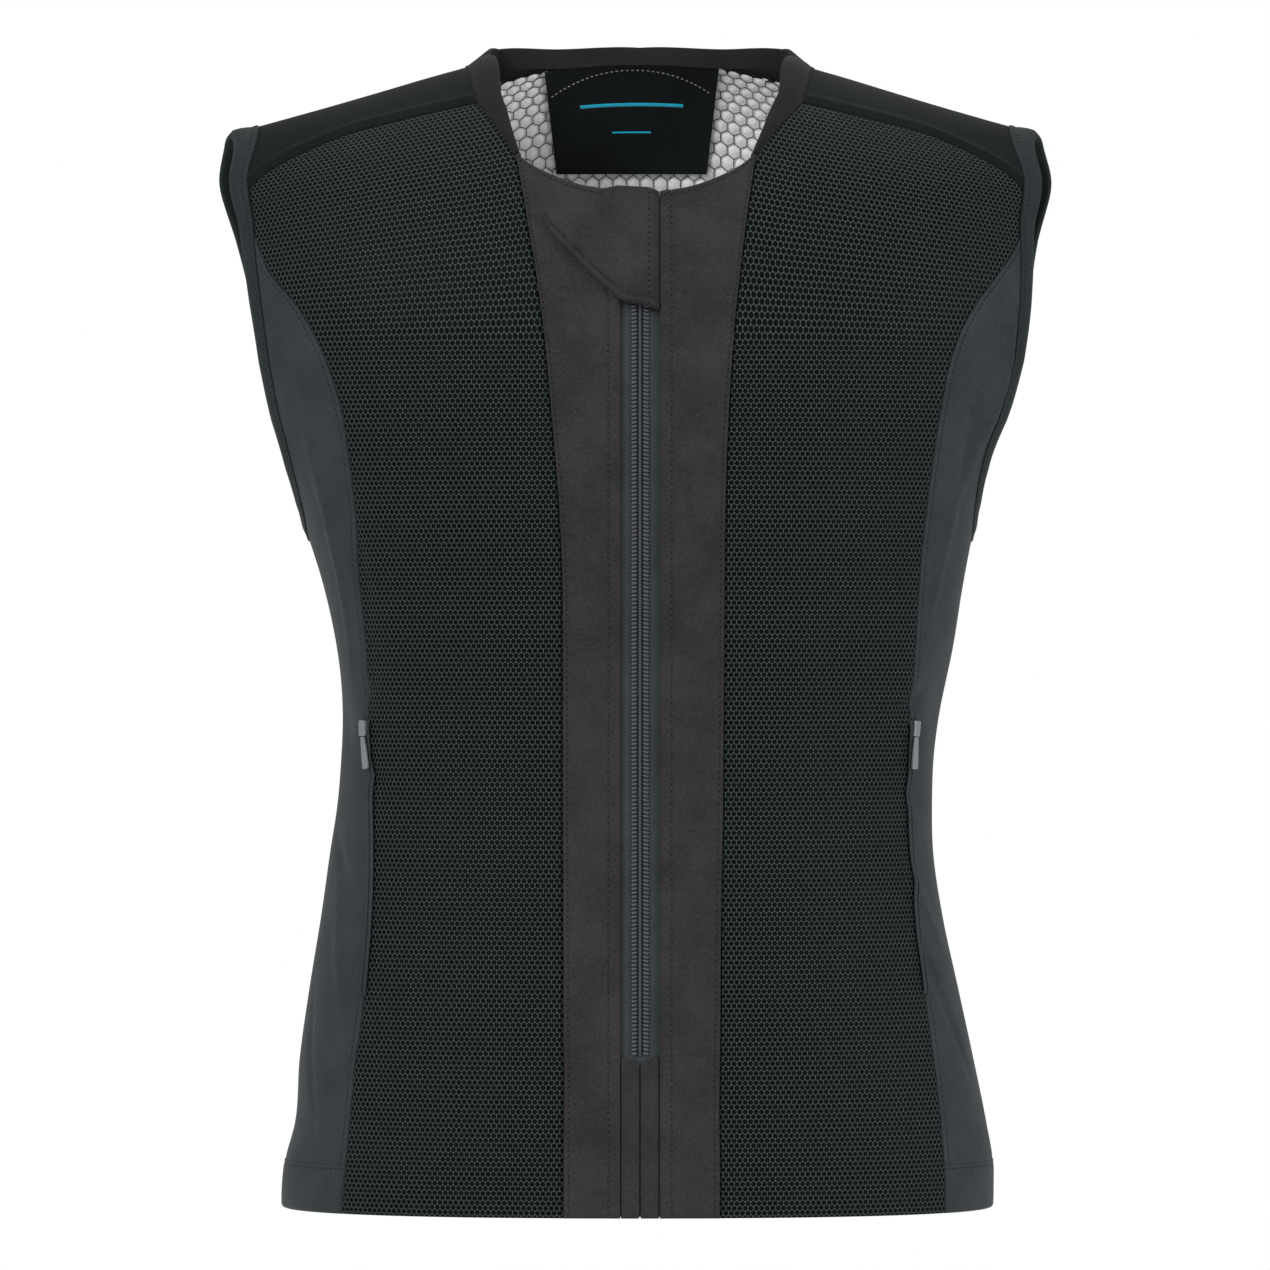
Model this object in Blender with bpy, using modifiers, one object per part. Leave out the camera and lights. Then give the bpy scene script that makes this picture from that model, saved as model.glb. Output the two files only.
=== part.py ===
"""A motorcycle airbag vest: sewn panels, bands and zips on one body-shaped surface.

Metres, +Z up. The front faces -Y and the wearer's left is +X. The origin lies midway between the
two neck points, where the vest sits on the shoulders, so heights are drops below the neck point.

Every cloth piece is a grid of places on one surface. A place is an angle round the body, from 0 at
the middle of the front to pi at the middle of the back, and a climb, which is the height up to
where the chest starts to curve over and then a measure along the curve over the shoulder.
"""

import math

import bmesh
import bpy
import numpy as np
from mathutils import Matrix, Vector

# Driving sizes of the whole vest
LENGTH = 0.608
HALF_SPAN = 0.2195
FRONT_DEPTH = 0.122
BACK_DEPTH = 0.108
SHOULDER_DROP = 0.0407
CURVE_START_DROP = 0.150
CURVE_OVER = 0.170
BODY_ROUNDNESS = 2.35
SHOULDER_ROUNDNESS = 1.8

# Cloth thicknesses
MESH_WALL = 0.0050
BACK_WALL = 0.0050
SOFTSHELL_WALL = 0.0028
PLACKET_WALL = 0.0026
LINING_WALL = 0.0025
FACING_WALL = 0.0012
FLAP_WALL = 0.0022
BAND_WALL = 0.0028
TAPE_WALL = 0.0011
TAB_WALL = 0.0016

# Neck, armholes and hem
NECK_FRONT_DROP = 0.0707
NECK_CORNER_DROP = 0.0500
NECK_YOKE_DROP = 0.0212
NECK_BACK_DROP = -0.0030
BAND_HEIGHT = 0.0100
BAND_FOOT = 0.0030
BAND_END_SHARE = 0.35
BAND_LEAN_FRONT = 85.0
BAND_LEAN = 32.0
ARMHOLE_DEPTH = 0.2414
BINDING_WIDTH = 0.0125
BINDING_WALL = 0.0042
BINDING_ROUND = 0.14
HEM_BAND = 0.0255

# Half widths of the neck: on the shoulder line, at the yoke's front seam and its back seam
NECK_HALF = 0.0925
NECK_YOKE_HALF = 0.0855
NECK_BACK_HALF = 0.0800
NECK_BACK_YOKE_DROP = 0.0050

# Main zip
ZIP_OPENING = 0.0206
TAPE_UNDERLAP = 0.0060
COIL_WIDTH = 0.0034
COIL_HEIGHT = 0.0018
COIL_SPACING = 0.0063
ZIP_TOP_DROP = 0.0760
ZIP_END_DROP = 0.5230
TAPE_HEM_GAP = 0.0040
TAB_SLANT = 0.0035
ZIP_SLIDER_WIDTH = 0.0085
ZIP_SLIDER_LENGTH = 0.0130
ZIP_SLIDER_HEIGHT = 0.0018

# Flap over the top of the zip
FLAP_LENGTH = 0.0607
FLAP_HEIGHT = 0.0628

# Facing inside the back neck
FACING_HALF = 0.0480
FACING_DROP = 0.0590
FACING_ASIDE = 0.0045
FACING_TAPER = 0.14

# Pocket zips, one in each side seam
POCKET_TOP_DROP = 0.3480
POCKET_LENGTH = 0.1450
POCKET_ZIP_WIDTH = 0.0044
POCKET_ZIP_WALL = 0.0014
POCKET_SLIDER_WIDTH = 0.0056
POCKET_SLIDER_LENGTH = 0.0085
POCKET_SLIDER_HEIGHT = 0.0026
PULL_WIDTH = 0.0048
PULL_LENGTH = 0.0170
PULL_THICKNESS = 0.0014
PULL_NECK_SHARE = 0.6

# Clearances and lifts
GAP = 0.0003
TRIM_LIFT = 0.0009
LAYER_GAP = 0.0005
SEAM_COVER_LIFT = 0.0005
FLAP_CLEARANCE = 0.0009

# Grid sizes
YOKE_COLUMNS = 8
NECK_COLUMNS = 4
PLACKET_COLUMNS = 3
YOKE_ROWS = 8
FLAP_ROWS = 6
FACING_COLUMNS = 6
POCKET_ROWS = 8
PULL_SIDES = 6
ROW_MERGE = 0.004
BLOCK_ROUNDING = 0.3
SHARP_ANGLE = math.radians(40)
SHARPEST_MITRE = 0.02

# Body sections from the neck point down: half widths are shares of HALF_SPAN, one for each side,
# and depths are shares of FRONT_DEPTH and BACK_DEPTH.
SECTION_COLUMNS = ("drop", "right", "left", "front", "back")
SECTIONS = (
    (-0.05, 0.985, 0.955, 0.95, 0.93),
    (0.067, 0.990, 0.959, 0.95, 0.95),
    (0.099, 1.010, 0.986, 0.96, 0.96),
    (0.151, 0.975, 0.959, 0.98, 0.98),
    (0.194, 0.947, 0.942, 0.99, 0.99),
    (0.238, 0.925, 0.931, 1.00, 1.00),
    (0.294, 0.898, 0.902, 1.00, 1.00),
    (0.346, 0.865, 0.866, 0.98, 0.98),
    (0.397, 0.820, 0.825, 0.95, 0.94),
    (0.459, 0.762, 0.774, 0.90, 0.87),
    (0.503, 0.733, 0.750, 0.87, 0.82),
    (0.572, 0.716, 0.716, 0.84, 0.77),
    (0.607, 0.718, 0.706, 0.83, 0.76),
    (0.650, 0.728, 0.703, 0.83, 0.77),
    (0.685, 0.743, 0.706, 0.84, 0.79),
    (0.746, 0.767, 0.730, 0.86, 0.84),
    (0.806, 0.796, 0.769, 0.88, 0.90),
    (0.871, 0.822, 0.812, 0.90, 0.96),
    (0.928, 0.832, 0.841, 0.92, 1.00),
    (0.958, 0.853, 0.853, 0.93, 1.02),
    (0.980, 0.860, 0.852, 0.93, 1.03),
    (1.050, 0.850, 0.842, 0.93, 1.03),
)

# Shoulder line: reach is a share of the half width, drop a share of SHOULDER_DROP.
RIDGE_COLUMNS = ("reach", "drop")
RIDGE = (
    (-0.20, -0.30),
    (0.00, -0.45),
    (0.20, -0.30),
    (0.36, 0.06),
    (0.50, 0.32),
    (0.64, 0.55),
    (0.79, 0.81),
    (0.93, 1.00),
    (1.00, 1.05),
)

# Armhole edge: rise is a share of the climb from the armpit to the shoulder line, front and back
# are degrees that the opening is cut in from the side.
ARMHOLE_COLUMNS = ("rise", "front", "back")
ARMHOLE = (
    (0.000, 0.0, 0.0),
    (0.030, 7.5, 7.5),
    (0.100, 13.5, 13.5),
    (0.200, 18.0, 18.0),
    (0.320, 21.0, 20.5),
    (0.440, 22.5, 20.5),
    (0.556, 23.5, 19.5),
    (0.610, 24.0, 18.5),
    (0.669, 24.0, 18.0),
    (0.760, 24.0, 17.0),
    (0.850, 23.5, 17.0),
    (0.930, 22.0, 18.0),
    (1.000, 20.0, 20.0),
)
SEAM_RISE = 0.556
YOKE_RISE = 0.669

# Seams of the front seen from the front: drop is a share of LENGTH, the half widths to the side
# panel's seam and to the placket's outer edge are shares of HALF_SPAN, one for each side.
SEAM_COLUMNS = ("drop", "side_right", "side_left", "placket_right", "placket_left")
SEAMS = (
    (0.050, 0.960, 0.930, 0.315, 0.295),
    (0.081, 0.955, 0.920, 0.298, 0.279),
    (0.164, 0.925, 0.893, 0.258, 0.246),
    (0.188, 0.892, 0.848, 0.247, 0.238),
    (0.210, 0.837, 0.803, 0.239, 0.231),
    (0.232, 0.798, 0.769, 0.230, 0.225),
    (0.256, 0.764, 0.744, 0.223, 0.220),
    (0.294, 0.726, 0.723, 0.214, 0.213),
    (0.364, 0.695, 0.697, 0.197, 0.205),
    (0.433, 0.683, 0.677, 0.186, 0.202),
    (0.511, 0.661, 0.664, 0.184, 0.201),
    (0.574, 0.655, 0.654, 0.184, 0.200),
    (0.650, 0.646, 0.648, 0.184, 0.198),
    (0.711, 0.645, 0.657, 0.183, 0.195),
    (0.806, 0.662, 0.686, 0.183, 0.192),
    (0.891, 0.690, 0.716, 0.182, 0.190),
    (0.956, 0.707, 0.732, 0.182, 0.190),
    (1.050, 0.728, 0.735, 0.182, 0.190),
)

# Yoke seam between its neck end and its armhole end: across and fall are shares of the way.
YOKE_SEAM_COLUMNS = ("across", "fall")
YOKE_SEAM = (
    (0.00, 0.00),
    (0.32, 0.19),
    (0.62, 0.41),
    (0.74, 0.55),
    (0.86, 0.71),
    (0.95, 0.87),
    (1.00, 1.00),
)

# Front neckline from the zip out to the placket's outer edge, as shares of the way.
NECKLINE_COLUMNS = ("across", "fall")
NECKLINE = ((0.00, 1.00), (0.33, 0.86), (0.60, 0.62), (0.82, 0.34), (1.00, 0.00))

# Flap from its sewn edge to its tip: across is a share of FLAP_LENGTH, the two drops of
# FLAP_HEIGHT, and lift is a share of the room that the zip's slider takes.
FLAP_COLUMNS = ("across", "upper", "lower", "lift")
FLAP = (
    (0.00, 0.010, 1.000, 0.00),
    (0.06, 0.008, 0.992, 0.85),
    (0.18, 0.000, 0.966, 1.00),
    (0.35, -0.012, 0.916, 0.90),
    (0.47, -0.020, 0.815, 0.84),
    (0.61, -0.045, 0.690, 0.80),
    (0.74, -0.040, 0.563, 0.78),
    (0.87, 0.030, 0.437, 0.76),
    (0.95, 0.090, 0.345, 0.76),
    (1.00, 0.170, 0.235, 0.76),
)

# Hollows pressed into the cloth: side is -1 or +1, angle is in degrees round the body, drop a
# share of LENGTH, slope the degrees that the hollow's line rises towards the back, reach and width
# its half length and half width as shares of HALF_SPAN, and depth a share of MESH_WALL.
FOLD_COLUMNS = ("side", "angle", "drop", "slope", "reach", "width", "depth")
FOLDS = (
    (-1, 75.0, 0.585, 35.0, 0.20, 0.100, 0.40),
    (1, 74.0, 0.560, -20.0, 0.20, 0.100, 0.40),
    (-1, 40.0, 0.520, 70.0, 0.36, 0.130, 0.40),
    (1, 40.0, 0.540, 75.0, 0.36, 0.130, 0.40),
    (-1, 150.0, 0.560, 10.0, 0.40, 0.120, 0.40),
    (1, 150.0, 0.600, 10.0, 0.40, 0.120, 0.40),
)

# Rows of the long panels, as shares of the way from the hem band up to the panel's top
ROW_SHARES = (0.0, 0.075, 0.15, 0.225, 0.30, 0.37, 0.44, 0.51, 0.58, 0.65, 0.715,
              0.775, 0.83, 0.885, 0.94, 1.0)
NECK_ROWS = 2

# Colours as linear red, green and blue, then roughness
BLACK_MESH = ("air mesh", (0.0055, 0.0070, 0.0068), 0.85)
SOFTSHELL = ("softshell", (0.024, 0.030, 0.034), 0.62)
CHARCOAL = ("charcoal softshell", (0.036, 0.035, 0.034), 0.72)
BINDING_KNIT = ("binding", (0.014, 0.019, 0.018), 0.70)
BLACK_CLOTH = ("black cloth", (0.004, 0.005, 0.005), 0.80)
WHITE_PADDING = ("white padding", (0.70, 0.73, 0.72), 0.90)
TAPE_CLOTH = ("zip tape", (0.045, 0.055, 0.058), 0.75)
COIL_NYLON = ("nylon coil", (0.065, 0.073, 0.092), 0.40)
GREY_METAL = ("painted zinc", (0.16, 0.17, 0.18), 0.45)

KNEE = -CURVE_START_DROP
RIDGE_CLIMB = KNEE + CURVE_OVER
RIGHT, LEFT = -1, 1
SIDE_NAMES = {RIGHT: "right", LEFT: "left"}


def column(table, names, name):
    """One column of a table as an array."""
    return np.array([row[names.index(name)] for row in table], float)


def smooth(table, names, name, against, at):
    """A smooth curve through a table's column, read at the given values of another column."""
    x, y = column(table, names, against), column(table, names, name)
    slope = np.gradient(y, x)
    at = np.clip(np.asarray(at, float), x[0], x[-1])
    i = np.clip(np.searchsorted(x, at, side="right") - 1, 0, len(x) - 2)
    step = x[i + 1] - x[i]
    t = (at - x[i]) / step
    start, end = slope[i] * step, slope[i + 1] * step
    lift = (y[i + 1] - y[i]) * t * t * (3 - 2 * t)
    return y[i] + lift + start * t * (1 - t) ** 2 - end * t * t * (1 - t)


def straight(table, names, name, against, at):
    """A table's column read along straight lines."""
    return np.interp(at, column(table, names, against), column(table, names, name))


def round_corner(angle, power):
    """The point at an angle on a rounded unit square, as its reach and its depth."""
    s, c = np.sin(angle), np.cos(angle)
    size = (np.abs(s) ** power + np.abs(c) ** power) ** (-1 / power)
    return s * size, c * size


def corner_angle(reach, power):
    """The angle on a rounded unit square whose point has the given reach."""
    reach = np.clip(reach, -1, 1)
    return np.arctan2(reach, (1 - np.abs(reach) ** power) ** (1 / power))


def half_width(side, height):
    """Half the width of the body at a height, measured past the armhole's cut."""
    share = smooth(SECTIONS, SECTION_COLUMNS, SIDE_NAMES[side], "drop", -height / LENGTH)
    rise = np.clip((height + ARMHOLE_DEPTH) / (RIDGE_CLIMB + ARMHOLE_DEPTH), 0, 1)
    front = straight(ARMHOLE, ARMHOLE_COLUMNS, "front", "rise", rise)
    back = straight(ARMHOLE, ARMHOLE_COLUMNS, "back", "rise", rise)
    cut = np.radians(np.minimum(front, back))
    edge_reach, _ = round_corner(math.pi / 2 - cut, BODY_ROUNDNESS)
    return HALF_SPAN * share / edge_reach


def ridge_height(reach):
    """The height of the shoulder line at a share of the half width."""
    return -SHOULDER_DROP * smooth(RIDGE, RIDGE_COLUMNS, "drop", "reach", reach)


def fold_relief(side, angle, height):
    """How far the folds push the cloth in at a place, in metres."""
    around = angle * HALF_SPAN
    total = np.zeros(np.shape(around + height))
    for fold in FOLDS:
        row = dict(zip(FOLD_COLUMNS, fold))
        if row["side"] != side:
            continue
        slope = math.radians(row["slope"])
        across = around - math.radians(row["angle"]) * HALF_SPAN
        up = height + row["drop"] * LENGTH
        along = across * math.cos(slope) + up * math.sin(slope)
        aside = up * math.cos(slope) - across * math.sin(slope)
        bump = np.exp(-(along / (row["reach"] * HALF_SPAN)) ** 2
                      - (aside / (row["width"] * HALF_SPAN)) ** 2)
        total = total + row["depth"] * MESH_WALL * bump
    return total


def surface(side, angle, climb):
    """The points of the body surface at some places."""
    angle, climb = np.broadcast_arrays(np.asarray(angle, float), np.asarray(climb, float))
    over = climb > RIDGE_CLIMB
    angle = np.where(over, math.pi - angle, angle)
    climb = np.where(over, 2 * RIDGE_CLIMB - climb, climb)
    reach, depth = round_corner(angle, BODY_ROUNDNESS)
    turn = np.clip((climb - KNEE) / CURVE_OVER, 0, 1) * math.pi / 2
    rise, shrink = round_corner(turn, SHOULDER_ROUNDNESS)
    height = np.where(climb < KNEE, climb, KNEE + (ridge_height(reach) - KNEE) * rise)
    drop = -height / LENGTH
    front = FRONT_DEPTH * smooth(SECTIONS, SECTION_COLUMNS, "front", "drop", drop)
    back = BACK_DEPTH * smooth(SECTIONS, SECTION_COLUMNS, "back", "drop", drop)
    x = half_width(side, height) * reach
    y = np.where(depth > 0, -front, -back) * depth * shrink
    middle_out = 1 / np.maximum(np.hypot(x, y), HALF_SPAN / 10)
    inward = fold_relief(side, angle, height) * middle_out
    return np.stack([side * x * (1 - inward), y * (1 - inward), height], axis=-1)


def directions(side, angle, climb):
    """How the surface moves with the angle and with the climb, and its outward normal."""
    step_angle, step_climb = 1e-3, 2e-4
    by_angle = (surface(side, angle + step_angle, climb)
                - surface(side, angle - step_angle, climb)) / (2 * step_angle)
    by_climb = (surface(side, angle, climb + step_climb)
                - surface(side, angle, climb - step_climb)) / (2 * step_climb)
    normal = np.cross(by_angle, by_climb) * side
    normal /= np.maximum(np.linalg.norm(normal, axis=-1, keepdims=True), 1e-9)
    return by_angle, by_climb, normal


def placed(side, places, offset):
    """The points that lie at an offset outside the surface, for an array of places."""
    _, _, normal = directions(side, places[..., 0], places[..., 1])
    return surface(side, places[..., 0], places[..., 1]) + normal * np.asarray(offset)[..., None]


def shifted(side, places, way, distance):
    """Places moved along the surface by a distance in a world direction."""
    by_angle, by_climb, _ = directions(side, places[..., 0], places[..., 1])
    target = way * np.asarray(distance)[..., None]
    aa = (by_angle * by_angle).sum(-1)
    ac = (by_angle * by_climb).sum(-1)
    cc = (by_climb * by_climb).sum(-1)
    ta, tc = (target * by_angle).sum(-1), (target * by_climb).sum(-1)
    size = aa * cc - ac * ac
    move = np.stack([(ta * cc - tc * ac) / size, (tc * aa - ta * ac) / size], axis=-1)
    return places + move


def front_place(side, x, height):
    """The place on the front that is seen from the front at x and a height."""
    reach = np.clip(side * x / half_width(side, height), -1, 1)
    angle = corner_angle(reach, BODY_ROUNDNESS)
    rise = (height - KNEE) / (ridge_height(reach) - KNEE)
    turn = corner_angle(np.clip(rise, 0, 1), SHOULDER_ROUNDNESS)
    climb = np.where(height < KNEE, height, KNEE + turn / (math.pi / 2) * CURVE_OVER)
    return np.stack(np.broadcast_arrays(angle, climb), axis=-1)


def behind(places):
    """The same places on the back."""
    return np.stack([math.pi - places[..., 0], places[..., 1]], axis=-1)


def over_shoulder(places):
    """Places on the back, named by their way over the shoulder line from the front."""
    return np.stack([math.pi - places[..., 0], 2 * RIDGE_CLIMB - places[..., 1]], axis=-1)


def between(start, end, count):
    """Places at even steps from one place to another, both of them included."""
    t = np.linspace(0, 1, count + 1)[:, None]
    return start * (1 - t) + end * t


def heights_up_to(top):
    """Heights of the rows of a long panel: its hem, its hem band's top, and up to its own top."""
    band_top = -LENGTH + HEM_BAND
    return np.concatenate([[-LENGTH], band_top + (top - band_top) * np.array(ROW_SHARES)])


def armhole_edge(rises, half):
    """Places along an armhole's edge, on the half called front or back."""
    rises = np.asarray(rises, float)
    cut = np.radians(smooth(ARMHOLE, ARMHOLE_COLUMNS, half, "rise", rises))
    turn = -1 if half == "front" else 1
    climb = rises * (RIDGE_CLIMB + ARMHOLE_DEPTH) - ARMHOLE_DEPTH
    return np.stack([math.pi / 2 + turn * cut, climb], axis=-1)


RISES = tuple(row[0] for row in ARMHOLE)
SEAM_STATION = RISES.index(SEAM_RISE)
YOKE_STATION = RISES.index(YOKE_RISE)
CREST_STATION = len(RISES) - 1


def armhole_loop(side, width):
    """Places once round an armhole, a width in from its edge: up the front and down the back."""
    front = armhole_edge(RISES, "front")
    back = armhole_edge(RISES[-2:0:-1], "back")
    loop = np.concatenate([front, back])
    points = surface(side, loop[:, 0], loop[:, 1])
    tangent = np.roll(points, -1, 0) - np.roll(points, 1, 0)
    tangent /= np.linalg.norm(tangent, axis=1, keepdims=True)
    _, _, normal = directions(side, loop[:, 0], loop[:, 1])
    inward = np.cross(normal, tangent) * side
    return shifted(side, loop, inward, np.full(len(loop), width))


def armhole_run(side, first, last):
    """Places on the binding's inner line between two stations; past the crest it runs down the back."""
    loop = armhole_loop(side, BINDING_WIDTH)
    return loop[np.arange(first, last + 1) % len(loop)]


def seam_x(name, side, heights):
    share = smooth(SEAMS, SEAM_COLUMNS, f"{name}_{SIDE_NAMES[side]}", "drop", -heights / LENGTH)
    return side * HALF_SPAN * share


def side_seam(side):
    """Places up the side panel's front seam, ending on the armhole binding's inner line."""
    junction = armhole_run(side, SEAM_STATION, SEAM_STATION)[0]
    top = surface(side, *junction)[2]
    heights = heights_up_to(top)
    places = front_place(side, seam_x("side", side, heights), heights)
    places[-1] = junction
    return places


def side_seam_behind(side):
    """Places up the side panel's back seam, as far behind the side as the front seam is before it."""
    places = behind(side_seam(side))
    places[-1] = armhole_run(side, -SEAM_STATION, -SEAM_STATION)[0]
    return places


def placket_edge(side):
    """Places up the placket's outer edge from the hem to the neck corner."""
    heights = heights_up_to(-NECK_CORNER_DROP)
    return front_place(side, seam_x("placket", side, heights), heights)


def neck_crest(side):
    """The place where the neck edge crosses the shoulder line."""
    reach = NECK_HALF / half_width(side, ridge_height(NECK_HALF / HALF_SPAN))
    return np.array([corner_angle(reach, BODY_ROUNDNESS), RIDGE_CLIMB])


def neck_front(side):
    """Places from the neck corner at the placket to the yoke's neck end."""
    corner = placket_edge(side)[-1]
    yoke = front_place(side, side * NECK_YOKE_HALF, np.array(-NECK_YOKE_DROP))
    return between(corner, yoke, NECK_ROWS)


def neck_over(side):
    """Places from the yoke's front neck end over the shoulder line to its back neck end."""
    crest = neck_crest(side)
    half = YOKE_ROWS // 2
    back_end = over_shoulder(neck_behind(side)[-1])
    front = between(neck_front(side)[-1], crest, half)
    return np.concatenate([front, between(crest, back_end, half)[1:]])


def neck_behind(side):
    """Places along the back neck edge from the middle to the yoke's back neck end."""
    x = side * NECK_BACK_HALF * np.linspace(0, 1, NECK_COLUMNS + 1)
    fall = np.linspace(0, 1, NECK_COLUMNS + 1) ** 2 * (NECK_BACK_YOKE_DROP - NECK_BACK_DROP)
    return behind(front_place(side, x, -NECK_BACK_DROP - fall))


def yoke_seam(side, start, end):
    """Places from a neck end to an armhole end, along the curve of the yoke's seam."""
    first, last = surface(side, *start), surface(side, *end)
    across = np.linspace(0, 1, YOKE_COLUMNS + 1)
    fall = smooth(YOKE_SEAM, YOKE_SEAM_COLUMNS, "fall", "across", across)
    x = first[0] + (last[0] - first[0]) * across
    places = front_place(side, x, first[2] + (last[2] - first[2]) * fall)
    if start[0] > math.pi / 2:
        places = behind(places)
    places[0], places[-1] = start, end
    return places


def yoke_seam_front(side):
    return yoke_seam(side, neck_front(side)[-1], armhole_run(side, YOKE_STATION, YOKE_STATION)[0])


def yoke_seam_back(side):
    armhole_end = armhole_run(side, -YOKE_STATION, -YOKE_STATION)[0]
    return yoke_seam(side, neck_behind(side)[-1], armhole_end)


def patch(bottom, top, left, right):
    """A grid of places between four edges that share their corners."""
    u = np.linspace(0, 1, len(bottom))[None, :, None]
    v = np.linspace(0, 1, len(left))[:, None, None]
    ruled = (1 - v) * bottom[None] + v * top[None] + (1 - u) * left[:, None] + u * right[:, None]
    corners = ((1 - u) * (1 - v) * bottom[0] + u * (1 - v) * bottom[-1]
               + (1 - u) * v * top[0] + u * v * top[-1])
    return ruled - corners


def drawn_in(side, places, distance, edges=("bottom", "top", "left", "right")):
    """A grid of places whose named edges are moved in along the surface."""
    points = surface(side, places[..., 0], places[..., 1])
    _, _, normal = directions(side, places[..., 0], places[..., 1])
    along = {"bottom": (0, slice(None)), "top": (-1, slice(None)),
             "left": (slice(None), 0), "right": (slice(None), -1)}
    inner = {"bottom": (1, slice(None)), "top": (-2, slice(None)),
             "left": (slice(None), 1), "right": (slice(None), -2)}
    ways = np.zeros(points.shape)
    marked = np.zeros(points.shape[:2], bool)
    for edge in edges:
        at = along[edge]
        tangent = np.gradient(points[at], axis=0)
        way = np.cross(normal[at], tangent)
        way /= np.linalg.norm(way, axis=1, keepdims=True)
        way *= np.sign((way * (points[inner[edge]] - points[at])).sum(1))[:, None]
        both = marked[at]
        meeting = 1 + (ways[at] * way).sum(1)
        mitred = (ways[at] + way) / np.maximum(meeting, SHARPEST_MITRE)[:, None]
        ways[at] = np.where(both[:, None], mitred, way)
        marked[at] = True
    moved = shifted(side, places, ways, np.full(places.shape[:2], distance))
    return np.where(marked[..., None], moved, places)


def new_material(finish):
    """A plain material with a finish's colour and roughness, made once for each finish."""
    name, colour, roughness = finish
    made = bpy.data.materials.get(name)
    if made:
        return made
    made = bpy.data.materials.new(name)
    made.use_nodes = True
    shader = made.node_tree.nodes["Principled BSDF"]
    shader.inputs["Base Color"].default_value = (*colour, 1)
    shader.inputs["Roughness"].default_value = roughness
    shader.inputs["Metallic"].default_value = 1.0 if finish is GREY_METAL else 0.0
    return made


def new_object(name, mesh, finish, vest):
    """An object of a mesh, smooth across its low edges, in the vest's collection."""
    piece = bpy.data.objects.new(name, mesh)
    mesh.materials.clear()
    mesh.materials.append(new_material(finish))
    mesh.shade_smooth()
    mesh.set_sharp_from_angle(angle=SHARP_ANGLE)
    vest.objects.link(piece)
    return piece


def sheet(name, outer, inner, finish, vest):
    """A wall of cloth between two grids of points: a grid, extruded, whose corners are placed.

    The grid is cut into triangles first, so that layers on top of each other bend on the same lines.
    """
    rows, columns = outer.shape[:2]
    bm = bmesh.new()
    place = bm.verts.layers.int.new("place")
    bmesh.ops.create_grid(bm, x_segments=columns - 1, y_segments=rows - 1, size=1)
    bm.verts.ensure_lookup_table()
    for i, vert in enumerate(bm.verts):
        vert[place] = i
    bmesh.ops.triangulate(bm, faces=bm.faces[:], quad_method="FIXED")
    made = bmesh.ops.extrude_face_region(bm, geom=bm.faces[:], use_keep_orig=True)
    raised = {part for part in made["geom"] if isinstance(part, bmesh.types.BMVert)}
    for vert in bm.verts:
        row, col = divmod(vert[place], columns)
        vert.co = (outer if vert in raised else inner)[row, col]
    bm.verts.layers.int.remove(place)
    bmesh.ops.recalc_face_normals(bm, faces=bm.faces[:])
    mesh = bpy.data.meshes.new(name)
    bm.to_mesh(mesh)
    bm.free()
    return new_object(name, mesh, finish, vest)


def band(name, rings, finish, vest, closed):
    """A band lofted through rings of points; a closed band's last ring meets its first."""
    count, sides = rings.shape[:2]
    bm = bmesh.new()
    verts = [[bm.verts.new(point) for point in ring] for ring in rings]
    for i in range(count if closed else count - 1):
        ring, after = verts[i], verts[(i + 1) % count]
        for k in range(sides):
            k_next = (k + 1) % sides
            bm.faces.new((ring[k], ring[k_next], after[k_next], after[k]))
    if not closed:
        bm.faces.new(verts[0])
        bm.faces.new(verts[-1])
    bmesh.ops.recalc_face_normals(bm, faces=bm.faces[:])
    mesh = bpy.data.meshes.new(name)
    bm.to_mesh(mesh)
    bm.free()
    return new_object(name, mesh, finish, vest)


def wall(side, places, lift, thickness):
    """The outer and the inner points of a wall over a grid of places."""
    level = np.broadcast_to(np.asarray(lift, float), places.shape[:2])
    return placed(side, places, level), placed(side, places, level - thickness)


def cloth(name, side, places, thickness, finish, vest, lift=0.0):
    """A cloth piece that fills a grid of places, half a gap clear of its neighbours."""
    clear = drawn_in(side, places, GAP / 2)
    outer, inner = wall(side, clear, lift, thickness)
    return sheet(f"{name}_{SIDE_NAMES[side]}", outer, inner, finish, vest)


def front_mesh(side, vest):
    """The air-mesh front, from the placket's edge to the side seam and from hem to yoke."""
    left = np.concatenate([placket_edge(side), neck_front(side)[1:]])
    right = np.concatenate([side_seam(side), armhole_run(side, SEAM_STATION, YOKE_STATION)[1:]])
    bottom = between(left[0], right[0], YOKE_COLUMNS)
    grid = patch(bottom, yoke_seam_front(side), left, right)
    cloth("front_mesh", side, grid, MESH_WALL, BLACK_MESH, vest)


def shoulder_yoke(side, vest):
    """The yoke, from the front seam over the shoulder line to the back seam."""
    bottom, top = yoke_seam_front(side), over_shoulder(yoke_seam_back(side))
    right = armhole_run(side, YOKE_STATION, 2 * CREST_STATION - YOKE_STATION)
    right[CREST_STATION - YOKE_STATION + 1:] = over_shoulder(right[CREST_STATION - YOKE_STATION + 1:])
    grid = patch(bottom, top, neck_over(side), right)
    cloth("shoulder_yoke", side, grid, SOFTSHELL_WALL, SOFTSHELL, vest)


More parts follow.
